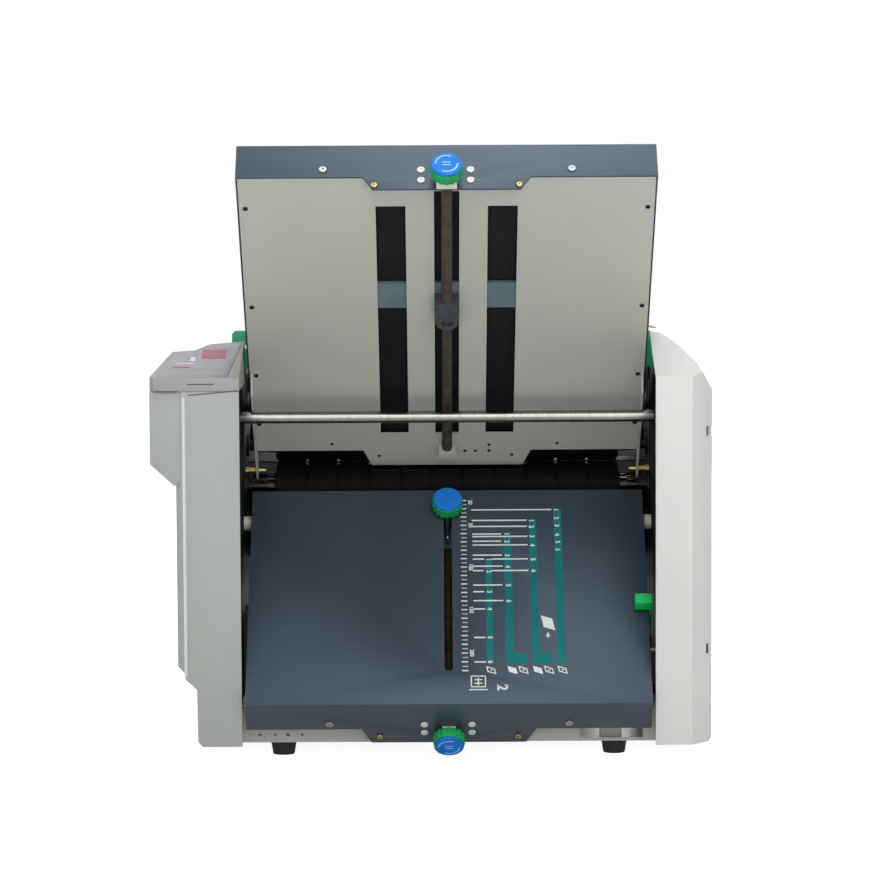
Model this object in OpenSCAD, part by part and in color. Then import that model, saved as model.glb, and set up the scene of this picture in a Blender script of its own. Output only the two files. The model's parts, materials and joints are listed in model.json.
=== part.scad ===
// Desktop paper folding machine: two buckle fold plates at the front, a cluster of four
// fold rollers between side frames, a friction feeder and a belt delivery at the back.
// Millimetres. +X is to the right and +Y away from a viewer who faces the fold plates.

/* [Fold plates] */
// Width over the cover of each fold plate
plate_w = 371; // [330:1:376]
// Length of the upper plate, from its mouth to its end flange
plate_1_len = 374; // [340:1:400]
// Length of the lower plate, from its mouth to its end flange
plate_2_len = 250; // [235:1:251]
// Depth of each plate, from its floor to the skin of its cover
plate_depth = 39; // [30:1:40]
// Sheet thickness of the covers
skin_t = 1.5; // [1:0.1:2]
// Sheet thickness of the plate floors and guides
sheet_t = 1.2; // [0.8:0.1:1.5]
// Clear height of the paper channel between floor and guide
paper_gap = 4.4; // [4:0.1:6]
// Length of the tongue that leads paper in at each mouth
tongue_len = 22; // [16:1:23]
// Drop of the tab on the upper plate's end flange, below the floor
tab_drop = 15; // [12:1:17]
// Drop of the tab on the lower plate's end flange, below the floor
lower_tab_drop = 21; // [12:1:24]
// Width of the upper and the lower tab at its bottom edge
tab_widths = [130, 142]; // [100:2:160]
// Width of the two long windows in each floor
window_w = 26.5; // [20:0.5:32]
// Distance between the centres of the two windows
window_pitch = 99.5; // [90:0.5:120]
// Width of the slot down the middle of each floor
floor_slot_w = 22.4; // [22:0.2:28]
// Width of the slot in each cover for the stem of the lock knob
knob_slot_w = 7.5; // [7:0.1:10]

/* [Paper stops] */
// Room between a stop bar's ends and the sides of its plate
stop_room = 20.5; // [8:0.5:60]
// Length of each stop bar along the plate
stop_len = 33; // [26:1:36]
// Thickness of each stop bar
stop_t = 3; // [2:0.1:3.4]
// Upper stop as set, from the mouth
stop_1_at = 201; // [90:1:280]
// Lower stop as set, from the mouth
stop_2_at = 10; // [8:1:60]
// Diameter of the adjusting rods
rod_d = 9.3; // [8:0.1:10]
// Diameter of the knobs
knob_d = 29; // [22:0.5:31]
// Height of the green body of each knob
knob_h = 10; // [8:0.5:13]
// Thickness of the blue cap of each knob
cap_t = 3; // [2:0.5:4]

/* [Fold rollers] */
// Radius of the big drive roller
drive_r = 19.85; // [19:0.05:20.5]
// Radius of the three small fold rollers
small_r = 15.85; // [15:0.05:16.5]
// Gap at each nip
nip_gap = 0.3; // [0.2:0.05:0.6]
// Room between the ends of the roller covering and the side frames
roller_room = 28.5; // [22:0.5:40]
// Diameter of the roller journals
journal_d = 10; // [8:0.5:12]
// Drive roller axis, back from the front of the side covers
drive_y = 223.6; // [220:0.5:228]
// Drive roller axis, above the desk
drive_z = 235; // [233:0.5:240]
// Teeth of the drive gear
drive_teeth = 20; // [16:4:24]
// Teeth of each small roller gear
small_teeth = 16; // [12:4:20]
// Face width of the gears
gear_w = 8; // [6:0.5:9]

/* [Frames] */
// Room between each fold plate and the side frame beside it
frame_room = 8; // [7:0.5:10]
// Thickness of the side frames
frame_t = 3; // [2:0.1:4]
// Back edge of the side frames
frame_back = 424; // [420:1:426]
// Top edge of the side frames
frame_top = 346; // [346:1:350]
// Diameter of the bar that the upper plate rests on
rest_bar_d = 11; // [9:0.5:13]
// Diameter of the tie bars
tie_d = 10; // [8:0.5:12]
// Diameter of the brass pins that the upper plate hooks on
hook_pin_d = 6; // [5:0.5:7]
// Diameter of the pivots of the lower plate
pivot_d = 8; // [6:0.5:9]

/* [Side covers] */
// Room between each fold plate and the side cover beside it
cover_room = 3.2; // [2.8:0.1:5]
// Width of the left cover
left_cover_w = 58.3; // [57:0.1:66]
// Width of the right cover
right_cover_w = 52.3; // [50:0.1:64]
// Depth of the covers, front to back
cover_depth = 430; // [428:1:450]
// Wall of the covers
cover_wall = 3; // [2:0.1:3.5]
// Height of the covers at the front edge
cover_front_h = 352; // [350:1:356]
// Height of the right cover
right_cover_h = 387; // [382:1:392]
// Height of the left cover behind the console
left_cover_h = 372; // [368:1:376]
// Height of the covers' lower edge above the desk
cover_lift = 15; // [13:1:18]
// How far the console stands out past the left cover
console_bulge = 23; // [16:1:30]
// Depth of the console, front to back
console_depth = 105; // [95:1:115]

/* [Base] */
// Height of the rubber feet
foot_h = 12.5; // [10:0.5:16]
// Diameter of the feet where they meet the base
foot_d = 24; // [18:0.5:28]
// Distance between the feet across the machine
foot_pitch = 306; // [280:1:330]
// Front wall of the base pan, back from the front of the covers
pan_front = 38; // [36:1:42]
// Height of the pan's walls
pan_wall_h = 32; // [28:1:36]
// Sheet thickness of the pan
pan_t = 1.5; // [1:0.1:2]

/* [Feeder] */
// Height of the feed table
table_z = 254; // [253.5:0.1:254.5]
// Back edge of the feed table
table_back = 640; // [560:1:700]
// Room between the feed table's edges and the side frames
table_room = 23.5; // [18:0.5:30]
// Radius of the feed wheels
feed_r = 22; // [20:0.5:23]
// Width of each feed wheel
feed_wheel_w = 30; // [20:1:34]
// Feed shaft, back from the front of the covers
feed_y = 292; // [289:1:294]
// Side guides as set, each from the middle of the table
guide_at = 108; // [80:1:140]
// Height of the side guides
guide_h = 45; // [30:1:55]

/* [Delivery] */
// Radius of the delivery rollers
delivery_r = 12; // [10:0.5:13]
// Front delivery roller, back from the front of the covers
delivery_y = 302; // [300:1:308]
// Front delivery roller above the desk
delivery_z = 138; // [130:1:140]
// Back delivery roller, back from the front of the covers
idler_y = 530; // [500:1:560]
// Back delivery roller above the desk
idler_z = 104; // [98:1:110]
// Width of each delivery belt
belt_w = 22; // [16:1:28]
// Thickness of the belts
belt_t = 1.5; // [1:0.1:2]

/* [Hidden] */
$fn = 64;

eps = 0.01;
run_gap = 0.05;     // radial gap of a running fit
move_gap = 0.3;     // gap between pieces that pass each other
half = sqrt(0.5);   // both plates lie at 45 degrees

slate = [0.24, 0.28, 0.32];
beige = [0.66, 0.65, 0.59];
pale = [0.86, 0.87, 0.85];
steel = [0.62, 0.63, 0.62];
dark = [0.12, 0.12, 0.13];
rubber = [0.07, 0.07, 0.08];
green = [0.03, 0.62, 0.33];
blue = [0.08, 0.45, 0.85];
brass = [0.78, 0.62, 0.26];

// Axes of the four fold rollers, as [back, up]. The drive roller carries the other three:
// one above it, one in front of it and one below it.
roller_pitch = drive_r + small_r + nip_gap;
roller_len = plate_w + 2 * (frame_room - roller_room);
axis_2 = [drive_y, drive_z];
axis_1 = axis_2 + [0, roller_pitch];
axis_3 = axis_2 - [roller_pitch, 0];
axis_4 = axis_2 - [0, roller_pitch];

// The plates are placed along two diagonals: u runs up towards the front, v up towards
// the back. Their mouths lie each side of the front roller.
function uv(u, v) = [(v - u) * half, (v + u) * half];
function u_of(p) = (p[1] - p[0]) * half;
function v_of(p) = (p[1] + p[0]) * half;
lip_gap = 3;        // between the front roller and each plate
mouth_reach = 14;   // from the drive roller to the tip of the upper tongue
mouth_1 = uv(u_of(axis_2) + drive_r + mouth_reach + tongue_len, v_of(axis_3) + small_r + lip_gap);
floor_2_lift = 1.9; // lower floor above the drive roller's axis, along u
mouth_2 = uv(u_of(axis_2) + floor_2_lift, v_of(axis_3) - small_r - lip_gap);

rod_drop = rod_d / 2 + 0.55;    // the rod runs just under the floor

// Places in a plate's own frame are [distance from the mouth, height above the floor].
function on_1(t, w) = mouth_1 + [(w - t) * half, (w + t) * half];
function on_2(t, w) = mouth_2 + [(-w - t) * half, (w - t) * half];
rest_bar_t = 75;
bracket_drop = 16.2;
rest_bar_w = -bracket_drop - move_gap - rest_bar_d / 2;
rest_bar_at = on_1(rest_bar_t, rest_bar_w);
hook_t = -21;
hook_w = -6.6;
hook_at = on_1(hook_t, hook_w);
pivot_t = 25;
pivot_w = 21;
pivot_at = on_2(pivot_t, pivot_w);
latch_t = 142;
latch_w = 8;
stud_t = 160;
stud_w = -2;
stud_d = 6;
rivet_r = 3;

// Inside faces and edges across the machine
frame_x = plate_w / 2 + frame_room;
frame_out = frame_x + frame_t;
cover_x = plate_w / 2 + cover_room;
left_out = cover_x + left_cover_w;
right_out = cover_x + right_cover_w;
console_out = left_out + console_bulge;
table_w = 2 * (frame_x - table_room);
gear_x = frame_out + 3;
pulley_w = 9;
pulley_x = gear_x + gear_w + 2.5;
journal_r = journal_d / 2;
bush_r = journal_r + 4;

// Feeder and delivery
feed_axis = [feed_y, table_z + 0.9 + feed_r];
retard_axis = [feed_y + 26, table_z - 24];
lift_axis = [frame_back - 20, table_z - 3];
lift_front = feed_y + 14;
front_axis = [delivery_y, delivery_z];
back_axis = [idler_y, idler_z];
delivery_slope = atan2(idler_z - delivery_z, idler_y - delivery_y);
delivery_run = norm(back_axis - front_axis);
belt_r = delivery_r + move_gap;
motor_axis = [165, 84];
motor_r = 32;
drive_pulley_r = 26;
motor_pulley_r = 13;
small_pulley_r = 12;
feed_pulley_r = small_pulley_r * feed_r / small_r;    // feed wheels and rollers run at one speed
hood_axis = [332, frame_top - 9];
release_axis = [200, 312];

// Outer limits, for an origin at the middle of the footprint
knob_lift = 9;
lower_knob_lift = 4;
knob_out = knob_lift + knob_h + cap_t;
// how far the cap stands in from the knob's body, at its foot and at its face
cap_in = [0.8, 1.8];
front_edge = on_1(plate_1_len + knob_out, -rod_drop)[0] - (knob_d / 2 - cap_in[1]) * half;
mid_x = (right_out - console_out) / 2;
mid_y = (front_edge + table_back) / 2;

// ---------------------------------------------------------------- shared shapes

module in_frame() translate([-mid_x, -mid_y, 0]) children();

// Draws a [back, up] outline and runs it across the machine from x0 to x1
module across(x0, x1) translate([x0, 0, 0]) rotate([90, 0, 90]) linear_extrude(x1 - x0) children();

// A round bar across the machine
module bar(at, r, x0, x1) translate([x0, at[0], at[1]]) rotate([0, 90, 0]) cylinder(h = x1 - x0, r = r);

// A bent sheet seen edge on, along a path of [back, up] points
module bent_sheet(path, t) {
    for (i = [0 : len(path) - 2]) {
        run = path[i + 1] - path[i];
        translate(path[i]) rotate(atan2(run[1], run[0])) translate([0, -t / 2]) square([norm(run), t]);
    }
    for (p = path) translate(p) circle(r = t / 2, $fn = 24);
}

module both_sides() {
    children();
    mirror([1, 0, 0]) children();
}

module place_1() translate([0, mouth_1[0], mouth_1[1]]) rotate([-45, 0, 0]) children();
module place_2() translate([0, mouth_2[0], mouth_2[1]]) rotate([45, 0, 0]) children();

// A slot along a plate, from one distance from the mouth to another
module long_slot(w, from, to, depth) {
    translate([-w / 2, -to + w / 2, -depth / 2]) cube([w, to - from - w, depth]);
    for (t = [from + w / 2, to - w / 2]) translate([0, -t, -depth / 2]) cylinder(h = depth, r = w / 2);
}

// Half angle of an involute tooth at radius r
function inv(a) = tan(a) * 180 / PI - a;
function tooth_half(r, pitch_r, teeth, slack) =
    90 / teeth - slack / 2 / pitch_r * 180 / PI + inv(20) - inv(acos(min(1, pitch_r * cos(20) / r)));
function tooth_radii(pitch_r, m) = [pitch_r - 1.2 * m, pitch_r - 0.5 * m, pitch_r, pitch_r + 0.45 * m,
                                    pitch_r + 0.85 * m];
module gear_outline(teeth, m, slack = 0.35) {
    pitch_r = teeth * m / 2;
    radii = tooth_radii(pitch_r, m);
    polygon([for (i = [0 : teeth - 1], side = [-1, 1], k = [0 : len(radii) - 1])
        let (r = side < 0 ? radii[k] : radii[len(radii) - 1 - k],
             a = i * 360 / teeth + side * tooth_half(r, pitch_r, teeth, slack))
        r * [cos(a), sin(a)]]);
}

// The outline of a belt's inner or outer face round two pulleys
function belt_points(c1, r1, c2, r2, steps = 20) =
    let (d = c2 - c1, a = atan2(d[1], d[0]), b = acos((r1 - r2) / norm(d)))
    concat([for (i = [0 : steps]) let (q = a + b + i * (360 - 2 * b) / steps) c1 + r1 * [cos(q), sin(q)]],
           [for (i = [0 : steps]) let (q = a - b + i * 2 * b / steps) c2 + r2 * [cos(q), sin(q)]]);
module belt_loop(c1, r1, c2, r2, t) difference() {
    polygon(belt_points(c1, r1 + t, c2, r2 + t));
    polygon(belt_points(c1, r1, c2, r2));
}

// ---------------------------------------------------------------- fold plates

// Folded cover: skin, two sides and an end flange with its tab. The mouth end is open.
module plate_cover(length, tab_w, tab_h, slot_from, slot_to, ear_hole) {
    inner_w = plate_w - 2 * skin_t;
    tab_slope = 9;
    difference() {
        union() {
            difference() {
                translate([-plate_w / 2, -length, 0]) cube([plate_w, length, plate_depth]);
                translate([-inner_w / 2, -length + skin_t, -eps])
                    cube([inner_w, length, plate_depth - skin_t + eps]);
            }
            translate([0, -length, 0]) rotate([-90, 0, 0]) linear_extrude(skin_t)
                polygon([[-tab_w / 2 - tab_slope, 0], [tab_w / 2 + tab_slope, 0],
                         [tab_w / 2, tab_h], [-tab_w / 2, tab_h]]);
        }
        translate([0, 0, plate_depth - skin_t / 2]) long_slot(knob_slot_w, slot_from, slot_to, 3 * skin_t);
        translate([0, -length - eps, -rod_drop]) rotate([-90, 0, 0])
            cylinder(h = 3 * skin_t, r = rod_d / 2 + 0.5);
        if (ear_hole) for (s = [-1, 1])
            translate([s * (plate_w - skin_t) / 2, -pivot_t, pivot_w]) rotate([0, 90, 0])
                cylinder(h = 3 * skin_t, r = pivot_d / 2 + run_gap, center = true);
    }
}

// Floor: the outer paper sheet, with a turned-up rim, two windows, the slot and the tongue
window_from = 25.3;
module plate_floor(length, slot_from) {
    w = plate_w - 2 * skin_t - 0.4;
    window_to = length - 37;
    rim_h = 8;
    difference() {
        union() {
            translate([-w / 2, -length + skin_t + 0.2, 0]) cube([w, length - skin_t - 0.2, sheet_t]);
            for (s = [-1, 1]) translate([s * (w - sheet_t) / 2 - sheet_t / 2, -length + skin_t + 0.2, 0])
                cube([sheet_t, length - skin_t - 0.2, rim_h]);
            linear_extrude(sheet_t) polygon([[-80, -eps], [80, -eps], [72, tongue_len], [-72, tongue_len]]);
        }
        for (s = [-1, 1]) translate([s * window_pitch / 2 - window_w / 2, -window_to, -1])
            cube([window_w, window_to - window_from, sheet_t + 2]);
        translate([-floor_slot_w / 2, -length + 18, -1])
            cube([floor_slot_w, length - 18 - slot_from, sheet_t + 2]);
    }
    // lead-in block that carries the mouth end of the adjusting rod
    difference() {
        translate([-8, -9, -rod_drop - rod_d / 2 - 2]) cube([16, 7, rod_drop + rod_d / 2 + 2 + eps]);
        translate([0, -10, -rod_drop]) rotate([-90, 0, 0]) cylinder(h = 9, r = rod_d / 2 - 1.3 + run_gap);
    }
}

// Guide: the inner paper sheet, hung from the sides of the cover
module plate_guide(length, slot_from, slot_to) {
    w = plate_w - 2 * skin_t - 0.4 - 2 * sheet_t - 0.4;
    z0 = sheet_t + paper_gap;
    flange_h = plate_depth - skin_t - z0;
    difference() {
        union() {
            translate([-w / 2, -length + skin_t + 3, z0]) cube([w, length - skin_t - 3, sheet_t]);
            for (s = [-1, 1]) translate([s * (w - sheet_t) / 2 - sheet_t / 2, -length + skin_t + 3, z0])
                cube([sheet_t, length - skin_t - 3, flange_h]);
        }
        translate([0, 0, z0 + sheet_t / 2]) long_slot(knob_slot_w + 1, slot_from, slot_to, 4 * sheet_t);
        for (s = [-1, 1]) translate([s * (w / 2 - 2), -pivot_t, pivot_w]) rotate([0, 90, 0])
            cylinder(h = 8, r = pivot_d / 2 + 1, center = true);
    }
}

stop_w = plate_w - 2 * stop_room;
stop_z = sheet_t + 0.7;
stem_r = 3.1;
stem_back = 12;

// Stop bar with its carriage: the casting reaches through the floor slot and rides the rod.
// shift sets the casting back from the stop's edge and tail is its length behind that.
module paper_stop(at, shift, tail) {
    casting_w = floor_slot_w - 1;
    ring_h = rod_drop + rod_d / 2 + 3;
    translate([0, -at, 0]) difference() {
        union() {
            translate([-stop_w / 2, -stop_len, stop_z]) cube([stop_w, stop_len, stop_t]);
            translate([-casting_w / 2, -shift - tail, -ring_h])
                cube([casting_w, tail + 4, ring_h + stop_z + eps]);
            translate([0, 4 - shift, -ring_h]) cylinder(h = ring_h - 1, r = casting_w / 2);
            translate([0, -stem_back, stop_z]) cylinder(h = plate_depth - stop_z - 4, r = stem_r);
        }
        translate([0, -50, -rod_drop]) rotate([-90, 0, 0]) cylinder(h = 80, r = rod_d / 2 + move_gap);
        translate([-6, 3 - shift, -ring_h - eps]) linear_extrude(2.5)
            polygon([[2, 6], [0, 0], [12, 0], [10, 6]]);
    }
}

// Lock knob: a fluted body on a spindle that turns on the carriage's stem
module knob_body(r, h, flutes) difference() {
    cylinder(h = h, r = r);
    for (i = [0 : flutes - 1]) rotate(i * 360 / flutes) translate([r + 1.6, 0, -1])
        cylinder(h = h + 2, r = 2.2, $fn = 24);
}

module lock_knob(at) translate([0, -at - stem_back, 0]) {
    seat = plate_depth + move_gap;
    color(dark) translate([0, 0, plate_depth - 4 + move_gap]) cylinder(h = 4 + 1, r = stem_r);
    color(dark) translate([0, 0, seat]) cylinder(h = 2, r = 8);
    color(green) translate([0, 0, seat + 2]) knob_body(knob_d / 2, knob_h, 16);
    color(blue) translate([0, 0, seat + 2 + knob_h])
        cylinder(h = cap_t, r1 = knob_d / 2 - cap_in[0], r2 = knob_d / 2 - cap_in[1]);
}

// Adjusting rod: full length of the plate, stepped down where it runs in the mouth block
module adjust_rod(length, lift) translate([0, 0, -rod_drop]) rotate([90, 0, 0]) {
    translate([0, 0, 3]) cylinder(h = 7, r = rod_d / 2 - 1.3);
    translate([0, 0, 9.5]) cylinder(h = length - 9.5 + lift, r = rod_d / 2);
    translate([0, 0, 12]) cylinder(h = 6, r = rod_drop - 0.25);
}

module end_knob(length, lift) translate([0, -length - lift, -rod_drop]) rotate([90, 0, 0]) {
    color(green) knob_body(knob_d / 2, knob_h, 16);
    color(blue) translate([0, 0, knob_h])
        cylinder(h = cap_t, r1 = knob_d / 2 - cap_in[0], r2 = knob_d / 2 - cap_in[1]);
}

// White bearing block for the rod, on the tab of the end flange
module rod_block(length, lift) difference() {
    translate([0, -length, 0]) rotate([90, 0, 0]) linear_extrude(lift - 1)
        polygon([[-6, 4], [6, 4], [9, -tab_drop], [-9, -tab_drop]]);
    translate([0, -length + 1, -rod_drop]) rotate([90, 0, 0])
        cylinder(h = lift + 2, r = rod_d / 2 + run_gap);
}

// Side bracket under the upper floor: it rests on the bar and hooks over the brass pin
bracket_x = plate_w / 2 - 3.5;
bracket_t = 2;
module bracket_1() difference() {
    translate([bracket_x - bracket_t / 2, 0, 0]) rotate([90, 0, 90]) linear_extrude(bracket_t)
        polygon([[-112, eps], [-112, -6], [-100, -bracket_drop], [-48, -bracket_drop], [-30, -13],
                 [25, -13], [30, -10.5], [30, -3], [24, 0], [0, 0.4], [0, eps]]);
    translate([bracket_x - 5, -hook_t - hook_pin_d, hook_w]) {
        slot_h = hook_pin_d + 2 * move_gap;
        translate([0, hook_pin_d, 0]) rotate([0, 90, 0]) cylinder(h = 10, r = slot_h / 2);
        translate([0, hook_pin_d, -slot_h / 2]) cube([10, 30, slot_h]);
    }
}

slot_1 = [stop_1_at - 154, plate_1_len - 24];
slot_2 = [stop_2_at + 5, plate_2_len - 37.2];
module plate_1_cover() in_frame() color(slate) place_1()
    plate_cover(plate_1_len, tab_widths[0], tab_drop, slot_1[0], slot_1[1], false);
module plate_1_guide() in_frame() color(slate) place_1() plate_guide(plate_1_len, slot_1[0], slot_1[1]);
module plate_1_floor() in_frame() color(beige) place_1() {
    plate_floor(plate_1_len, window_from);
    both_sides() bracket_1();
}
module plate_1_stop() in_frame() color(steel) place_1() paper_stop(stop_1_at, 0, 20);
module plate_1_lock_knob() in_frame() place_1() lock_knob(stop_1_at);
module plate_1_adjust_rod() in_frame() color(steel) place_1() adjust_rod(plate_1_len, knob_lift);
module plate_1_end_knob() in_frame() place_1() end_knob(plate_1_len, knob_lift);
module plate_1_rod_block() in_frame() color("white") place_1() rod_block(plate_1_len, knob_lift);

module plate_2_cover() in_frame() color(slate) place_2() {
    plate_cover(plate_2_len, tab_widths[1], lower_tab_drop, slot_2[0], slot_2[1], true);
    // rivet that the latch turns on
    translate([plate_w / 2 - eps, -latch_t, latch_w]) rotate([0, 90, 0]) cylinder(h = 3.6, r = rivet_r);
}
module plate_2_guide() in_frame() color(slate) place_2() plate_guide(plate_2_len, slot_2[0], slot_2[1]);
module plate_2_floor() in_frame() color(beige) place_2() plate_floor(plate_2_len, 12);
module plate_2_stop() in_frame() color(steel) place_2() paper_stop(stop_2_at, 18, 10);
module plate_2_lock_knob() in_frame() place_2() lock_knob(stop_2_at);
module plate_2_adjust_rod() in_frame() color(steel) place_2() adjust_rod(plate_2_len, lower_knob_lift);
module plate_2_end_knob() in_frame() place_2() end_knob(plate_2_len, lower_knob_lift);
module plate_2_rod_block() in_frame() color("white") place_2() rod_block(plate_2_len, lower_knob_lift);

// Green latch at the right edge of the lower plate. It turns on a rivet in the cover's side;
// its hooked finger passes under a stud on the frame when the thumb pad is pushed up.
module plate_2_latch() in_frame() color(green) place_2() {
    blade_x = plate_w / 2 + move_gap;
    blade_t = 3;
    pad_z = plate_depth + 4.5;
    pad_top = plate_depth + 15.5;
    translate([blade_x, 0, 0]) rotate([90, 0, 90]) linear_extrude(blade_t) difference() {
        union() {
            translate([-latch_t, latch_w]) circle(r = 8);
            translate([-latch_t - 4.5, latch_w]) square([9, pad_top - latch_w]);
            translate([-latch_t - 3, latch_w - 24.5]) square([6, 24.5]);
            translate([-latch_t - 9.5, latch_w - 24.5]) square([9.5, 5]);
        }
        translate([-latch_t, latch_w]) circle(r = rivet_r + run_gap);
    }
    translate([blade_x - 13, -latch_t - 5.5, pad_z]) cube([13 + blade_t, 11, pad_top - pad_z]);
}

// ---------------------------------------------------------------- frames and bars

shaft_axes = [axis_1, axis_2, axis_3, axis_4, feed_axis, front_axis];
plain_holes = [[rest_bar_at, rest_bar_d / 2], [hook_at, hook_pin_d / 2], [pivot_at, pivot_d / 2],
               [retard_axis, tie_d / 2]];
tie_places = [[70, 56], [360, 60], [360, 180]];

module frame_outline() difference() {
    // the notch in the top edge lets the release lever's head swing forwards
    polygon([[24, foot_h + 4], [24, 118], [88, 250], [88, frame_top - 22], [110, frame_top],
             [168, frame_top], [174, 334], [210, 334], [214, frame_top],
             [frame_back - 74, frame_top], [frame_back, frame_top - 60], [frame_back, foot_h + 4]]);
    for (a = shaft_axes) translate(a) circle(r = bush_r);
    for (h = plain_holes) translate(h[0]) circle(r = h[1]);
    for (p = tie_places) translate(p) circle(r = tie_d / 2 - 2);
    translate(lift_axis) circle(r = 3 + run_gap);
    translate(hood_axis) circle(r = 3 + run_gap);
    translate(release_axis) circle(r = 5 + run_gap);
    translate(motor_axis) circle(r = 16);
}

module left_frame() in_frame() color(dark) across(-frame_out, -frame_x) frame_outline();
module right_frame() in_frame() color(dark) across(frame_x, frame_out) frame_outline();

// Folded base pan with a front lip, a cable notch and two rests for the lower plate
module base_pan() in_frame() color(beige) {
    w = 2 * frame_x;
    z0 = foot_h;
    difference() {
        translate([-w / 2, pan_front, z0]) cube([w, frame_back - pan_front, pan_wall_h]);
        translate([-w / 2 + pan_t, pan_front + pan_t, z0 + pan_t])
            cube([w - 2 * pan_t, frame_back - pan_front - 2 * pan_t, pan_wall_h]);
        translate([w / 2 - 72.5, pan_front - 1, z0 + 2 * pan_t]) cube([58, 4, pan_wall_h]);
        translate([-22, pan_front - 1, z0 + 12]) cube([44, 4, pan_wall_h]);
        for (x = [17.5, 31.5, 43.5, 56.5]) translate([x - w / 2, pan_front - 1, z0 + 6]) cube([3, 4, 2]);
        for (x = [-150 : 12 : -30]) translate([x, 230, z0 - 1]) cube([6, 60, pan_t + 2]);
        translate([-133, frame_back - 4, z0 + 5]) cube([26, 8, 20]);
        translate([-93, frame_back - 4, z0 + 6]) cube([21, 8, 18]);
    }
    rest_at = on_2(196, -move_gap);
    both_sides() across(w / 2 - 53.5, w / 2 - 33.5)
        polygon([[rest_at[0] - 5, z0 + pan_t - eps], rest_at - [5, 5], rest_at + [9, 9],
                 [rest_at[0] + 9, z0 + pan_t - eps]]);
}

module rubber_feet() in_frame() color(rubber)
    for (x = [-foot_pitch / 2, foot_pitch / 2], y = [pan_front + 14, frame_back - 30])
        translate([x, y, 0]) cylinder(h = foot_h, r1 = foot_d / 2 - 2, r2 = foot_d / 2);

module rest_bar() in_frame() color(steel) bar(rest_bar_at, rest_bar_d / 2, -frame_out - 4, frame_out + 4);

module tie_bars() in_frame() color(steel) {
    for (p = tie_places) {
        bar(p, tie_d / 2, -frame_x, frame_x);
        bar(p, tie_d / 2 - 2, -frame_out - 4, frame_out + 4);
    }
    bar(retard_axis, tie_d / 2, -frame_out, frame_out);
}

// Brass pins riveted in the frames, and the stud that the lower latch hooks under
module hook_pins() in_frame() color(brass) {
    both_sides() {
        bar(hook_at, hook_pin_d / 2, bracket_x - 8, frame_out + 3);
        bar(hook_at, hook_pin_d / 2 + 1, frame_x - 4, frame_x);
    }
    stud_at = on_2(stud_t, stud_w);
    bar(stud_at, stud_d / 2, plate_w / 2 + 0.8, frame_x);
}

module plate_2_pivots() in_frame() color("white") both_sides() {
    bar(pivot_at, pivot_d / 2, plate_w / 2 - skin_t - 1.4, frame_out + 2);
    bar(pivot_at, pivot_d / 2 + 3, plate_w / 2 + 1, frame_x);
}

module bush(at) {
    difference() {
        union() {
            bar(at, bush_r, frame_x, frame_out);
            bar(at, bush_r + 1.5, frame_x - 2, frame_x);
        }
        bar(at, journal_r + run_gap, frame_x - 4, frame_out + 1);
    }
}
module shaft_bushes() in_frame() color(brass) both_sides() for (a = shaft_axes) bush(a);

// ---------------------------------------------------------------- fold rollers and gears

module fold_roller(at, r, left_end, right_end) {
    color(steel) bar(at, journal_r, -left_end, right_end);
    color(steel) bar(at, journal_r + 2, -roller_len / 2 - 8, roller_len / 2 + 8);
    rings = 11;
    ring_pitch = roller_len / rings;
    color(rubber) for (i = [0 : rings - 1]) {
        x0 = -roller_len / 2 + i * ring_pitch;
        bar(at, r, x0 + 1.5, x0 + ring_pitch - 1.5);
    }
    color(rubber) bar(at, r - 2.5, -roller_len / 2, roller_len / 2);
}

gear_end = gear_x + gear_w + 1;
pulley_end = pulley_x + pulley_w + 1;
plain_end = frame_out + 3;
module fold_roller_1() in_frame() {
    fold_roller(axis_1, small_r, gear_end, pulley_end);
    color(dark) pulley(axis_1, small_pulley_r, pulley_x, journal_r - eps);
}
module fold_roller_2() in_frame() fold_roller(axis_2, drive_r, pulley_end, plain_end);
module fold_roller_3() in_frame() fold_roller(axis_3, small_r, gear_end, plain_end);
module fold_roller_4() in_frame() {
    fold_roller(axis_4, small_r, gear_end, pulley_end);
    color(dark) pulley(axis_4, small_pulley_r, pulley_x, journal_r - eps);
}

gear_module = 2 * roller_pitch / (drive_teeth + small_teeth);

module spur_gear(at, teeth, turn) translate([-gear_x - gear_w, at[0], at[1]]) rotate([90, 0, 90])
    difference() {
        union() {
            linear_extrude(gear_w) rotate(turn) gear_outline(teeth, gear_module);
            translate([0, 0, gear_w - eps]) cylinder(h = 2, r = journal_r + 3);
        }
        translate([0, 0, -1]) cylinder(h = gear_w + 4, r = journal_r);
    }

module pulley(at, r, x0, bore_r) difference() {
    union() {
        bar(at, r, x0, x0 + pulley_w);
        bar(at, r + 3, x0, x0 + 1);
        bar(at, r + 3, x0 + pulley_w - 1, x0 + pulley_w);
    }
    bar(at, bore_r, x0 - 1, x0 + pulley_w + 1);
}

module roller_gear_1() in_frame() color(pale) spur_gear(axis_1, small_teeth, 180 / small_teeth);
module roller_gear_2() in_frame() color(pale) {
    spur_gear(axis_2, drive_teeth, 0);
    pulley(axis_2, drive_pulley_r, -pulley_x - pulley_w, journal_r);
    difference() {
        bar(axis_2, journal_r + 3, -pulley_x, -gear_x - gear_w);
        bar(axis_2, journal_r, -pulley_x - 1, -gear_x - gear_w + 1);
    }
}
module roller_gear_3() in_frame() color(pale) spur_gear(axis_3, small_teeth, 180 / small_teeth);
module roller_gear_4() in_frame() color(pale) spur_gear(axis_4, small_teeth, 180 / small_teeth);

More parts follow.
